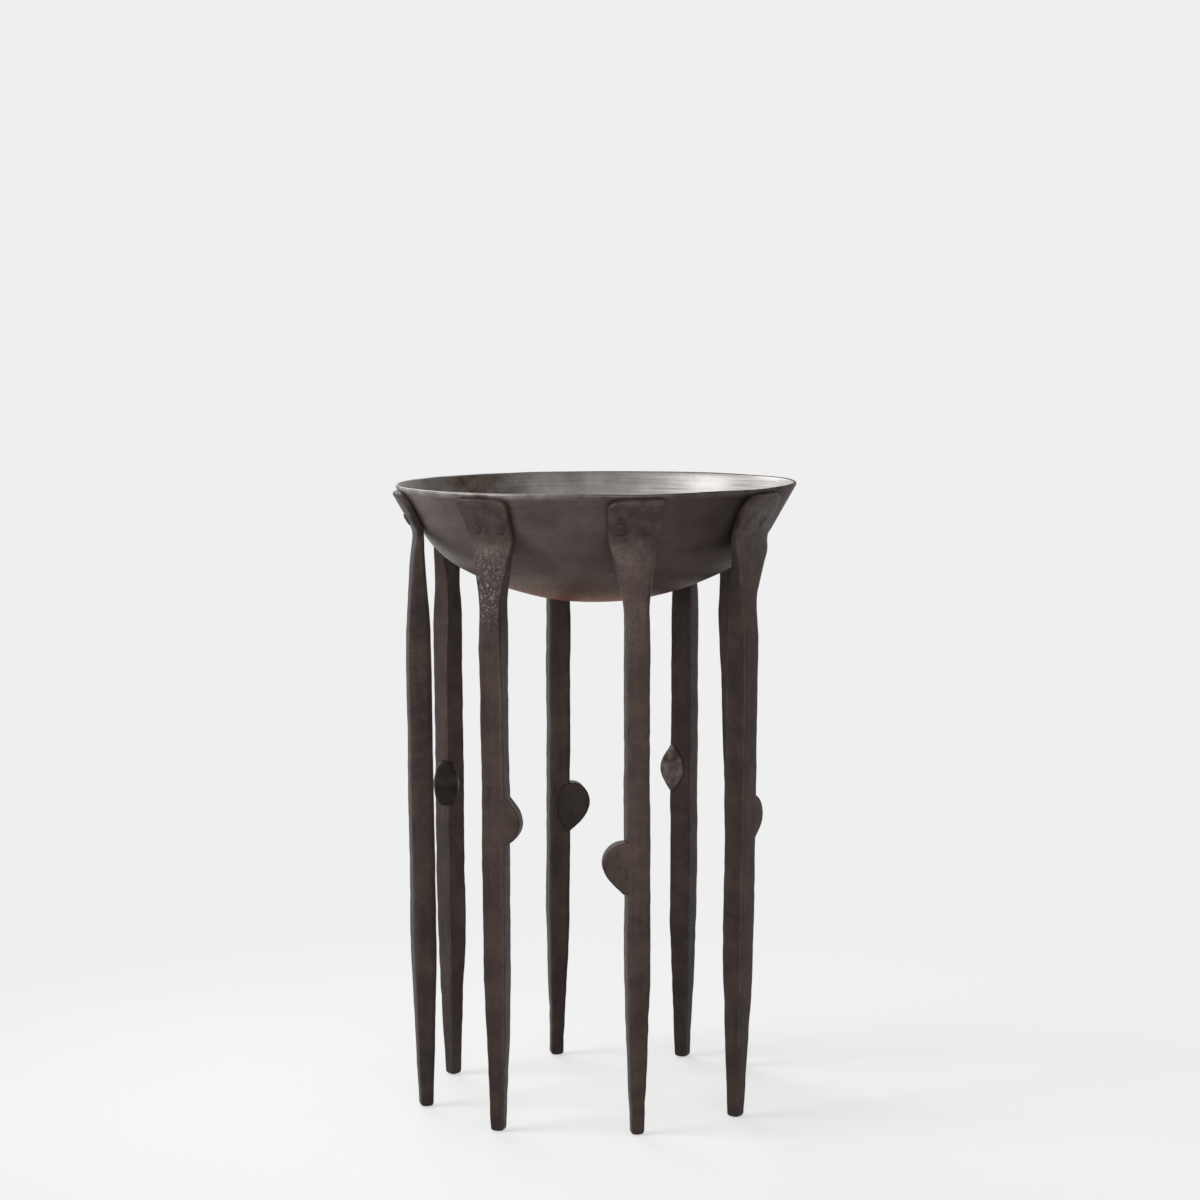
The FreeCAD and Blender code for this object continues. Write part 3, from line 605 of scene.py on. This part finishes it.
bm = bmesh.new()
tip = bm.verts.new((0, 0, dish_low))
tip = carry_round(bm, tip, dish_centre, dish_angle, DISH_STEPS)
tip = carry_round(bm, tip, bend_centre, FLARE - dish_angle, BEND_STEPS)
tip = carry_straight(bm, tip, wall_point(0, 0), WALL_STEPS)
tip = carry_round(bm, tip, wall_point(0, -SHEET / 2), math.pi, RIM_STEPS)
tip = carry_straight(bm, tip, wall_point(wall_length, -SHEET), WALL_STEPS)
tip = carry_round(bm, tip, bend_centre, dish_angle - FLARE, BEND_STEPS)
carry_round(bm, tip, dish_centre, -dish_angle, DISH_STEPS)
spin_section(bm, ROUND_STEPS)
print("bowl", len(bm.faces), "faces")

# %% [markdown]
# Beaten sheet is never quite round. Both faces of the sheet move together, so the
# unevenness is worked out from the direction and the height only. It is strongest at the
# rim, which rises and falls by about half a millimetre.

# %% Bowl beaten
RIM_SWAY, RIM_ROUND = 0.5 * MM, 0.6 * MM    # how far the rim rises and falls, and is out of round
SWAY_RATE, ROUND_RATE = 2.3, 1.7            # how quickly that changes round the rim
ROUND_AWAY = Vector((4, 9, 2))              # another place in the noise, so that the two differ
RIM_WORN, RIM_SKIN = SHEET * 0.9, SHEET * 0.7   # below the top: ends of the wear and of the outside skin
PLANISH_DEPTH, PLANISH_WIDTH = 0.22 * MM, 22 * MM

wear_and_highlight = bm.verts.layers.float.new("wear_and_highlight")
for vert in bm.verts:
    height_share = (vert.co.z - dish_low) / (RIM_HEIGHT - dish_low)
    outward = Vector((vert.co.x, vert.co.y, 0)).normalized()
    sway = noise.noise(outward * SWAY_RATE)
    oval = noise.noise(outward * ROUND_RATE + ROUND_AWAY)
    vert[wear_and_highlight] = 1.0 if vert.co.z > RIM_HEIGHT - RIM_WORN else 0.0
    dish_way = (vert.co - Vector((0, 0, dish_centre.y))).normalized()
    planish = noise.noise(vert.co / PLANISH_WIDTH) * PLANISH_DEPTH
    vert.co += outward * oval * RIM_ROUND * height_share ** 2 + dish_way * planish
    vert.co.z += sway * RIM_SWAY * height_share ** 2
for face in bm.faces:
    inside = face.normal.z > 0 and face.calc_center_median().z < RIM_HEIGHT - RIM_SKIN
    face.material_index = 1 if inside else 0
bowl = keep_piece(bm, "beaten_bowl", "bowl", [sheet_outside, sheet_inside])
print(bowl.name, len(bowl.data.polygons), "faces")

# %% [markdown]
# Each leg is one square bar. Its foot is drawn down to a blunt point, and its top is spread
# into a thin paddle that lies against the bowl. A box model with a bevel would give one
# corner radius everywhere, so a straight blank with an eight-sided section is made instead,
# cut into many short lengths, and each length is then moved to its station along the leg.
# A station holds the inner and outer face in the side view, the sideways middle and the
# width to the left and right.

# %% Leg sizes
BAR, TIP = 13.0 * MM, 7.4 * MM
PADDLE_DROP, PADDLE_LENGTH = 1.2 * MM, 27.0 * MM
PADDLE_WIDTH, HEEL_WIDTH = 34.0 * MM, 28.5 * MM
PADDLE_THICKNESS, HEEL_THICKNESS, SEAT_GAP = 4.0 * MM, 4.4 * MM, 0.1 * MM
NECK_HEIGHT, NECK_RADIUS = RIM_HEIGHT - 33.0 * MM, RIM_RADIUS - 10.5 * MM
NECK_THICKNESS, NECK_WIDTH = 5.0 * MM, 25.5 * MM
NECK_END, NECK_END_THICKNESS = NECK_HEIGHT - 29.0 * MM, 9.6 * MM
SHOULDER = NECK_END - 23.0 * MM
SHAFT_RADIUS = RIM_RADIUS - 10.5 * MM
TAPER = 88.0 * MM
STATION_STEP = 1.5 * MM
FOOT_ROUND = 2.4 * MM                   # the foot's last edge is rounded off
FOOT_SHARES = (0, 0.1, 0.3, 0.6, 1)     # stations inside that rounding
NECK_DRIFT = 0.18                       # share of the shaft's drift that the neck has
RELAX_PASSES = 20
# The seven values of a station.
INNER_RADIUS, INNER_HEIGHT, OUTER_RADIUS, OUTER_HEIGHT, MIDDLE, LEFT, RIGHT = range(7)

# angle: of the paddle's middle, degrees from the front towards +X. drift: shaft's top beside it in mm.
# left, right: corner radii of the paddle in mm, seen from outside. bulge: mm that the right side of the
# heel spreads further. pitted: how deep the scale on the neck is, and how strong the glints painted on
# it are. waist: width of the neck over the usual. twist: degrees that the shaft is turned about its own
# axis. bow: mm that the shaft bends outwards. lump: mm that stand out on the right of the neck. sooty:
# how much painted shade darkens the leg.
USUAL_LEG = {"drift": 0, "twist": 0, "bow": 0, "left": 5, "right": 6, "bulge": 0, "lump": 0, "pitted": 0,
             "waist": 1, "painted_shade": 0}
LEGS = [
    {"angle": 11, "drift": 1.8, "left": 7, "right": 2},
    {"angle": 54.4, "drift": -6.3, "left": 9, "right": 4, "bulge": 7, "lump": 1.6, "painted_shade": 0.05},
    {"angle": 129.5, "bow": 3.6, "pitted": 0.5},
    {"angle": 150, "drift": -1, "left": 3, "right": 7, "painted_shade": 0.45},
    {"angle": 193, "left": 6, "right": 3, "pitted": 0.3, "painted_shade": 0.45},
    {"angle": 238, "twist": -20, "left": 4, "right": 8},
    {"angle": 283, "right": 12, "pitted": 0.2, "waist": 0.6, "painted_shade": 0.45},
    {"angle": 326.5, "drift": 0.9, "twist": 16, "left": 2, "pitted": 1},
]
LEGS = [USUAL_LEG | leg for leg in LEGS]
feet = {mount["name"]: Vector(mount["pos_m"]) for mount in frame["record"]["mounts"]}
for number, leg in enumerate(LEGS, start=1):
    turn = math.radians(leg["angle"])
    foot = feet[f"foot_{number}"]
    leg["foot_radius"] = foot.dot(Vector((math.sin(turn), -math.cos(turn), 0)))
    leg["foot_drift"] = foot.dot(Vector((math.cos(turn), math.sin(turn), 0)))
print(len(LEGS), "legs, feet from", len(feet), "mounts")

# %% Leg stations
def shaft_centre(leg, height):
    """Radius and sideways middle of a leg's shaft at a height."""
    lean = max(0.0, 1 - height / SHOULDER)
    top = leg["drift"] * MM
    radius = SHAFT_RADIUS + (leg["foot_radius"] - SHAFT_RADIUS) * lean
    return radius, top + (leg["foot_drift"] - top) * lean


def level_station(middle, height, radius, thickness, width):
    half, side = thickness / 2, width / 2
    return Vector((radius - half, height, radius + half, height, middle, side, side))


def wall_station(along, thickness, width):
    inner = wall_point(along, SEAT_GAP)
    outer = wall_point(along, SEAT_GAP + thickness)
    return Vector((*inner, *outer, 0, width / 2, width / 2))


def outer_point(station):
    """Radius and height of a station's outer face."""
    return Vector(station[OUTER_RADIUS:MIDDLE])


def leg_stations(leg):
    """Evenly spaced stations from the foot to the paddle's top edge, eased where the outline turns."""
    drift, waist = leg["drift"] * MM, leg["waist"]
    taper_radius, taper_drift = shaft_centre(leg, TAPER)
    neck_end_radius = (SHAFT_RADIUS * 2 + NECK_RADIUS) / 3
    keys = [
        *(level_station(leg["foot_drift"], FOOT_ROUND * share, leg["foot_radius"], TIP, TIP)
          for share in FOOT_SHARES),
        level_station(taper_drift, TAPER, taper_radius, BAR, BAR),
        level_station(drift, SHOULDER, SHAFT_RADIUS, BAR, BAR),
        level_station(drift, NECK_END, neck_end_radius, NECK_END_THICKNESS, BAR),
        level_station(drift * NECK_DRIFT, NECK_HEIGHT, NECK_RADIUS, NECK_THICKNESS, NECK_WIDTH * waist),
        wall_station(PADDLE_DROP + PADDLE_LENGTH, HEEL_THICKNESS, HEEL_WIDTH * waist),
        wall_station(PADDLE_DROP, PADDLE_THICKNESS, PADDLE_WIDTH),
    ]
    for key in keys[-3:-1]:
        key[RIGHT] += leg["bulge"] * MM
    stations = []
    for start, end in zip(keys, keys[1:]):
        count = max(1, round((outer_point(end) - outer_point(start)).length / STATION_STEP))
        stations += [start.lerp(end, step / count) for step in range(count)]
    stations.append(keys[-1])
    for _ in range(RELAX_PASSES):
        stations[1:-1] = [(a + b * 2 + c) / 4 for a, b, c in zip(stations, stations[1:], stations[2:])]
    return stations


print("a leg has", len(leg_stations(LEGS[0])), "stations")

# %% [markdown]
# A smith leaves the bar a little wavy. Noise along the leg moves its middle, its two sides
# and its outer face by up to half a millimetre, in waves of about 30 mm with smaller nicks on
# them, and one leg has a lump beside its neck. The paddle's upper corners are rounded by
# narrowing its last stations along a quarter circle.

# %% Leg by hand
WAVE = 33 * MM
SIDE_WAVE, MIDDLE_WAVE, FACE_WAVE = 0.4 * MM, 0.4 * MM, 0.35 * MM
NICK_SHARE, NICK_RATE = 0.4, 4.6         # small nicks: their depth and number over those of the waves
TOP_SHARE = 0.7                          # thickness of the top edge's last ring, a small chamfer
LUMP_HEIGHT, LUMP_HALF = NECK_HEIGHT - 3 * MM, 5 * MM
LEG_AWAY, WAVE_AWAY, NICK_AWAY = 11.3, 5.1, 3.7     # steps through the noise: leg to leg, lane to lane


def corner_loss(radius, below_top):
    """How much a rounded corner takes off a width at a distance from the end of the bar."""
    if below_top >= radius:
        return 0.0
    return radius - math.sqrt(radius ** 2 - (radius - below_top) ** 2)


def work_by_hand(stations, leg, seed):
    """Moves the stations as the hammer did, and rounds the paddle's corners and the foot."""
    top_edge = outer_point(stations[-1])
    for station in stations:
        way = Vector((station[OUTER_HEIGHT] / WAVE, seed * LEG_AWAY, 0))
        waves = [noise.noise(way + Vector((0, 0, lane * WAVE_AWAY))) for lane in range(4)]
        nicks = [noise.noise(way * NICK_RATE + Vector((0, 0, lane * NICK_AWAY))) * NICK_SHARE
                 for lane in range(4)]
        left, right, middle, face = (wave + nick for wave, nick in zip(waves, nicks))
        below_top = (outer_point(station) - top_edge).length
        station[OUTER_RADIUS] += face * FACE_WAVE
        station[MIDDLE] += middle * MIDDLE_WAVE
        station[LEFT] += left * SIDE_WAVE - corner_loss(leg["left"] * MM, below_top)
        station[RIGHT] += right * SIDE_WAVE - corner_loss(leg["right"] * MM, below_top)
        from_lump = (station[OUTER_HEIGHT] - LUMP_HEIGHT) / LUMP_HALF
        station[RIGHT] += leg["lump"] * MM * math.exp(-from_lump ** 2)
        foot_loss = corner_loss(FOOT_ROUND, station[INNER_HEIGHT])
        station[INNER_RADIUS] += foot_loss
        for value in (OUTER_RADIUS, LEFT, RIGHT):
            station[value] -= foot_loss


print("corner of 7 mm loses", round(corner_loss(7, 1), 2), "mm at 1 mm below the top")

# %% [markdown]
# Now the blank. An octagon stands for a square with its corners taken off, and a vertex
# keeps the square's flat faces and its corners apart: up to the corner it scales with the
# bar, and inside the corner it follows a quarter round of the corner's own size.

# %% Leg mesh
HALF_CORNER = math.radians(22.5)
FLAT = math.tan(HALF_CORNER)            # share of the octagon's half side that is flat
CORNER_START = FLAT + 0.05              # beyond this, both ways, a vertex counts as part of a corner
OUTER_FACE = 0.95                       # beyond this a vertex lies on the bar's outer face
ARRIS = 1.2 * MM
ARRIS_SHARE = 0.34                      # most of the thickness that a corner may take
BROAD_CUTS, NARROW_CUTS, CORNER_CUTS = 7, 3, 1
TWIST_LENGTH = 50 * MM


def draw_blank(count):
    """A straight eight-sided bar, one unit long between its rings, with its faces divided."""
    bm = bmesh.new()
    bmesh.ops.create_circle(bm, cap_ends=True, segments=8, radius=1 / math.cos(HALF_CORNER))
    bmesh.ops.rotate(bm, verts=bm.verts[:], cent=(0, 0, 0), matrix=Matrix.Rotation(HALF_CORNER, 3, "Z"))
    draw_out(bm, (0, 0, count - 1))
    upright = [edge for edge in bm.edges if abs(edge.verts[0].co.z - edge.verts[1].co.z) > 0.5]
    bmesh.ops.subdivide_edges(bm, edges=upright, cuts=count - 2, use_grid_fill=True)
    broad, narrow, corner = [], [], []
    for edge in bm.edges:
        across = edge.verts[0].co - edge.verts[1].co
        if abs(across.z) > 0.5:
            continue
        if abs(across.x) < 0.01:
            broad.append(edge)
        elif abs(across.y) < 0.01:
            narrow.append(edge)
        else:
            corner.append(edge)
    for edges, cuts in ((broad, BROAD_CUTS), (narrow, NARROW_CUTS), (corner, CORNER_CUTS)):
        bmesh.ops.subdivide_edges(bm, edges=edges, cuts=cuts, use_grid_fill=True)
    return bm


def spread(unit, half, arris):
    """Place across the bar for a place across the octagon, from -1 to 1."""
    size = min(abs(unit), 1.0)
    if size <= FLAT:
        reach = size / FLAT * (half - arris)
    else:
        reach = half - arris + arris * math.sin((size - FLAT) / (1 - FLAT) * math.pi / 2)
    return math.copysign(reach, unit)


def to_station(vert, stations):
    """For a vertex of the blank: radius and height at its station, sideways place, and wear, which on the
    two top rings is a painted highlight.
    """
    index = round(vert.co.z)
    station = stations[index]
    inner, outer = Vector(station[INNER_RADIUS:OUTER_RADIUS]), outer_point(station)
    share = TOP_SHARE if index == len(stations) - 1 else 1.0
    half_thickness = (outer - inner).length / 2 * share
    half_width = station[LEFT] if vert.co.y < 0 else station[RIGHT]
    arris = min(ARRIS, half_thickness * 2 * ARRIS_SHARE)
    on_corner = min(abs(vert.co.x), abs(vert.co.y)) > CORNER_START
    point = (inner + outer) / 2 + (outer - inner).normalized() * spread(vert.co.x, half_thickness, arris)
    side = station[MIDDLE] + spread(vert.co.y, half_width, arris)
    # The two top rings are marked as well, for a painted highlight along the top edge.
    return point, side, 1.0 if on_corner or index >= len(stations) - 2 else 0.0


def twist_shaft(leg, radius, side, height):
    """Turns a place on the shaft about the shaft's own axis, less and less towards the neck."""
    share = min(1.0, max(0.0, (NECK_END - height) / TWIST_LENGTH))
    centre, middle = shaft_centre(leg, height)
    turn = Matrix.Rotation(math.radians(leg["twist"]) * share, 2)
    turned = turn @ Vector((radius - centre, side - middle))
    return centre + turned.x, middle + turned.y


def bow_shaft(leg, height):
    """How far a bowed shaft stands out at a height: nothing at the floor and at the shoulder."""
    share = min(1.0, max(0.0, height / SHOULDER))
    return leg["bow"] * MM * 4 * share * (1 - share)


def turn_to(leg, radius, side, height):
    """A point of a leg in the frame; the leg's faces curve round the axis as the bowl does."""
    turn = math.radians(leg["angle"])
    radius += bow_shaft(leg, height)
    out = math.sqrt(radius ** 2 - side ** 2)
    return Vector((out * math.sin(turn) + side * math.cos(turn),
                   side * math.sin(turn) - out * math.cos(turn), height))


print("blank helpers ready")

# %% Legs
PIT_LOW, PIT_HIGH = NECK_END - 18 * MM, NECK_HEIGHT + 5 * MM
FOOT_DARKENING, FOOT_DARKENING_HEIGHT = 0.3, 80 * MM      # darkening of the foot towards the floor, and where it ends
PADDLE_PAINTED_LIGHT, PADDLE_LIGHT_FADE = 0.7, 20 * MM    # the paddles are made a little paler as painted light
LEG_HAMMER = (0.2 * MM, 13 * MM, 0.08 * MM, 5 * MM)     # depth and width of the swell and of the dents


def pit_share(height):
    """How far a height lies inside the pitted stretch of the neck, from 0 at its ends to 1."""
    middle, half = (PIT_LOW + PIT_HIGH) / 2, (PIT_HIGH - PIT_LOW) / 2
    return max(0.0, 1 - ((height - middle) / half) ** 2)


def forge_leg(number, leg):
    stations = leg_stations(leg)
    work_by_hand(stations, leg, number)
    bm = draw_blank(len(stations))
    wear_and_highlight = bm.verts.layers.float.new("wear_and_highlight")
    pitted = bm.verts.layers.float.new("pitted")
    painted_shade = bm.verts.layers.float.new("painted_shade")
    for vert in bm.verts:
        outside = vert.co.x > OUTER_FACE
        point, side, wear_and_top_highlight = to_station(vert, stations)
        # The paddles get some of the bare colour as painted light, fading out below the neck.
        paddle_share = min(1.0, max(0.0, (point.y - NECK_HEIGHT) / PADDLE_LIGHT_FADE + 1))
        vert[wear_and_highlight] = max(wear_and_top_highlight, PADDLE_PAINTED_LIGHT * paddle_share)
        # Painted shade of the leg, with a darkening towards the floor added.
        vert[painted_shade] = leg["painted_shade"] + FOOT_DARKENING * max(0.0, 1 - point.y / FOOT_DARKENING_HEIGHT)
        vert[pitted] = leg["pitted"] * pit_share(point.y) if outside else 0.0
        radius, side = twist_shaft(leg, point.x, side, point.y)
        vert.co = turn_to(leg, radius, side, point.y)
    bmesh.ops.recalc_face_normals(bm, faces=bm.faces[:])
    hammer(bm, *LEG_HAMMER, number)
    for vert in bm.verts:
        vert.co.z = max(vert.co.z, 0.0)
    return keep_piece(bm, f"forged_leg_{number}", f"leg_{number}", [forged_bar])


for number, leg in enumerate(LEGS, start=1):
    piece = forge_leg(number, leg)
    print(piece.name, len(piece.data.polygons), "faces")

# %% [markdown]
# The buds are short stubs, welded to the side of a leg and hammered round at one end while
# the other end runs out into the bar. A disc gives the round end. Its lower half is drawn
# out and pinched to a point, the part that would lie inside the bar is cut off, and the
# flat shape is given its width and soft edges. The cheeks are flush with the bar and dip
# under its faces, so the weld hardly shows. No two are alike: some are let into the bar, one
# is a whole disc, one a leaf and one an oval.

# %% Bud sizes
# height: middle of the round end above the floor. turn: degrees from straight outwards. up: 1 with the
# tail down, -1 with it up. sink: how far the bud is let into the bar. side: shift towards a cheek.
# reach, top, tail: from that middle to the crown and to the two ends. pinch: how much the top and the
# tail are drawn in. lean: how far the tail bends back to the bar. root: how deep the bud reaches into
# the bar. width: from cheek to cheek. almond: how far both ends are rounded in the width, 1 for an
# oval. edge: roundness of the edges. worn: how much lighter one cheek is, a painted highlight.
# sooty: how much painted shade darkens the bud. Lengths are millimetres.
USUAL_BUD = {"up": 1, "sink": 0, "side": 0, "reach": 13, "top": 13, "tail": 17.5, "pinch": (0, 0.76),
             "lean": 0, "root": 4.5, "width": 13.2, "almond": 0.1, "edge": 0.9, "wear_and_highlight": 0, "painted_shade": 0}
BUDS = [
    {"height": 156, "turn": -97, "side": 0.9},
    {"height": 177, "turn": 86.6, "sink": 5, "root": 2, "almond": 0.2},
    {"height": 168, "turn": -129, "up": -1, "almond": 0.5},
    {"height": 182.5, "turn": 90, "sink": 1.8, "side": 2, "reach": 8, "top": 15, "tail": 15,
     "pinch": (0.7, 0.7), "root": 8.9, "width": 13, "edge": 1.6, "wear_and_highlight": 3.2},
    {"height": 160, "turn": -96, "sink": -2.2, "side": -1.7, "reach": 10.3, "top": 12.5, "tail": 19,
     "pinch": (0, 0.66), "lean": 4, "root": 10.3, "width": 12.8, "painted_shade": 0.9},
    {"height": 181, "turn": 119, "side": -1.6, "tail": 15, "pinch": (0, 0.5), "width": 16.8,
     "almond": 0.95, "edge": 0.5, "painted_shade": 1},
    {"height": 183, "turn": -100, "up": -1, "almond": 0.3, "painted_shade": 0.25},
    {"height": 177.5, "turn": 112, "up": -1, "sink": 5, "side": -0.8, "tail": 21.5, "root": 3},
]
BUDS = [USUAL_BUD | bud for bud in BUDS]
TAIL_END = 0.93                         # share of the tail that is kept; its sharp point is left off
CROWN_THINNING, ROOT_THINNING = 0.1, 0.16
OUTLINE_STEPS, CROSS_CUTS, EDGE_STEPS = 56, 4, 4
CHEEK_INSET = 1.0 * MM
BUD_HAMMER = (0.2 * MM, 9 * MM, 0.1 * MM, 4 * MM)   # depth and width of the swell and of the dents
BUD_SEED = 20                           # added to a bud's number, so that it differs from its leg
print(len(BUDS), "buds")

# %% Buds
def draw_bud(bud):
    """A bud with its round end's middle at the origin: X away from the bar, Z up, tail down."""
    reach, top, tail, root, width = (bud[size] * MM for size in ("reach", "top", "tail", "root", "width"))
    bm = bmesh.new()
    bmesh.ops.create_circle(bm, cap_ends=True, segments=OUTLINE_STEPS, radius=1.0)
    bmesh.ops.rotate(bm, verts=bm.verts[:], cent=(0, 0, 0), matrix=Matrix.Rotation(math.pi / 2, 3, "X"))
    for vert in bm.verts:
        pinch, length = (bud["pinch"][0], top) if vert.co.z > 0 else (bud["pinch"][1], tail)
        vert.co.x *= reach * (1 - pinch * vert.co.z ** 2)
        vert.co.x -= bud["lean"] * MM * min(vert.co.z, 0) ** 2
        vert.co.z *= length
    for place, way in (((-root, 0, 0), (-1, 0, 0)), ((0, 0, -tail * TAIL_END), (0, 0, -1))):
        bmesh.ops.bisect_plane(bm, geom=bm.verts[:] + bm.edges[:] + bm.faces[:], dist=MERGE,
                               plane_co=place, plane_no=way, clear_outer=True)
    bmesh.ops.translate(bm, verts=bm.verts[:], vec=(0, -width / 2, 0))
    draw_out(bm, (0, width, 0))
    bmesh.ops.recalc_face_normals(bm, faces=bm.faces[:])
    crosswise = [edge for edge in bm.edges if abs(edge.verts[0].co.y - edge.verts[1].co.y) > width / 2]
    bmesh.ops.subdivide_edges(bm, edges=crosswise, cuts=CROSS_CUTS, use_grid_fill=True)
    cheeks = [face for face in bm.faces if abs(face.normal.y) > 0.9]
    outline = list({edge for face in cheeks for edge in face.edges})
    bmesh.ops.bevel(bm, geom=outline, offset=bud["edge"] * MM, segments=EDGE_STEPS, profile=0.5,
                    affect="EDGES", material=-1)
    # The two cheeks are the only faces left with many corners.
    cheeks = [face for face in bm.faces if len(face.verts) > 8]
    bmesh.ops.inset_region(bm, faces=cheeks, thickness=CHEEK_INSET, use_even_offset=False)
    bmesh.ops.poke(bm, faces=cheeks)
    for vert in bm.verts:
        crown, deep = max(0.0, vert.co.x / reach), max(0.0, -vert.co.x / root)
        end = vert.co.z / top if vert.co.z > 0 else vert.co.z / tail
        vert.co.y *= 1 - CROWN_THINNING * crown ** 2 - ROOT_THINNING * deep ** 2
        vert.co.y *= math.sqrt(max(0.0, 1 - bud["almond"] * end ** 2))
    return bm


def forge_bud(number, leg, bud):
    bm = draw_bud(bud)
    wear_and_highlight = bm.verts.layers.float.new("wear_and_highlight")
    painted_shade = bm.verts.layers.float.new("painted_shade")
    hammer(bm, *BUD_HAMMER, BUD_SEED + number)
    turn = math.radians(bud["turn"])
    for vert in bm.verts:
        # One cheek is made lighter as a painted highlight.
        vert[wear_and_highlight] = bud["wear_and_highlight"] if vert.co.y * bud["side"] > 0 else 0.0
        # Painted shade darkens some buds.
        vert[painted_shade] = bud["painted_shade"]
        height = bud["height"] * MM + vert.co.z * bud["up"]
        away = vert.co.x + BAR / 2 - bud["sink"] * MM
        side = vert.co.y * bud["up"] + bud["side"] * MM
        radius, middle = shaft_centre(leg, height)
        radius += away * math.cos(turn) - side * math.sin(turn)
        middle += away * math.sin(turn) + side * math.cos(turn)
        vert.co = turn_to(leg, radius, middle, height)
    bmesh.ops.recalc_face_normals(bm, faces=bm.faces[:])
    return keep_piece(bm, f"welded_bud_{number}", f"bud_{number}", [forged_bar])


for number, (leg, bud) in enumerate(zip(LEGS, BUDS), start=1):
    piece = forge_bud(number, leg, bud)
    print(piece.name, len(piece.data.polygons), "faces")

# %% [markdown]
# Two rivets hold each paddle. A rivet is turned: its section is a short line of points from
# the middle of its tail, hammered flat inside the bowl, along the shank to the middle of its
# low head, and a spin makes it solid. Each one then stands square to the flared wall.

# %% Rivets
RIVET_DROP, RIVET_PITCH = 19.2 * MM, 15.6 * MM
HEAD_FACE = SEAT_GAP + PADDLE_THICKNESS
RIVET_STEPS = 28
RIVET_HAMMER = (0.22 * MM, 4 * MM, 0.08 * MM, 1.8 * MM)
RIVET_SEED = 40                         # keeps the rivets' dents apart from those of legs and buds
# Radius and height above the bowl's outer face, in millimetres, along the section.
TAIL_SECTION = [(0.0, -1.15), (2.2, -1.05), (3.2, -0.65), (3.7, 0.0), (2.5, 0.0)]
HEAD_SECTION = [(2.5, 0.0), (4.0, 0.0), (3.9, 0.5), (3.3, 0.92), (2.1, 1.14), (0.0, 1.2)]


def turn_rivet():
    bm = bmesh.new()
    section = [(radius * MM, -SHEET + height * MM) for radius, height in TAIL_SECTION]
    section += [(radius * MM, HEAD_FACE + height * MM) for radius, height in HEAD_SECTION]
    line = [bm.verts.new((radius, 0, height)) for radius, height in section]
    for start, end in zip(line, line[1:]):
        bm.edges.new((start, end))
    spin_section(bm, RIVET_STEPS)
    return bm


def set_rivets(number, leg):
    pair = bmesh.new()
    seat = wall_point(RIVET_DROP, 0)
    for side in (-1, 1):
        bm = turn_rivet()
        hammer(bm, *RIVET_HAMMER, RIVET_SEED + number + side)
        yaw = math.radians(leg["angle"] - 90) + side * math.asin(RIVET_PITCH / 2 / seat.x)
        stand = Matrix.Rotation(yaw, 4, "Z") @ Matrix.Translation((seat.x, 0, seat.y))
        bm.transform(stand @ Matrix.Rotation(math.pi - FLARE, 4, "Y"))
        single = bpy.data.meshes.new("one_rivet")
        bm.to_mesh(single)
        bm.free()
        pair.from_mesh(single)
        bpy.data.meshes.remove(single)
    return keep_piece(pair, f"rivet_pair_{number}", f"rivets_{number}", [rivet_iron])


for number, leg in enumerate(LEGS, start=1):
    piece = set_rivets(number, leg)
    print(piece.name, len(piece.data.polygons), "faces")
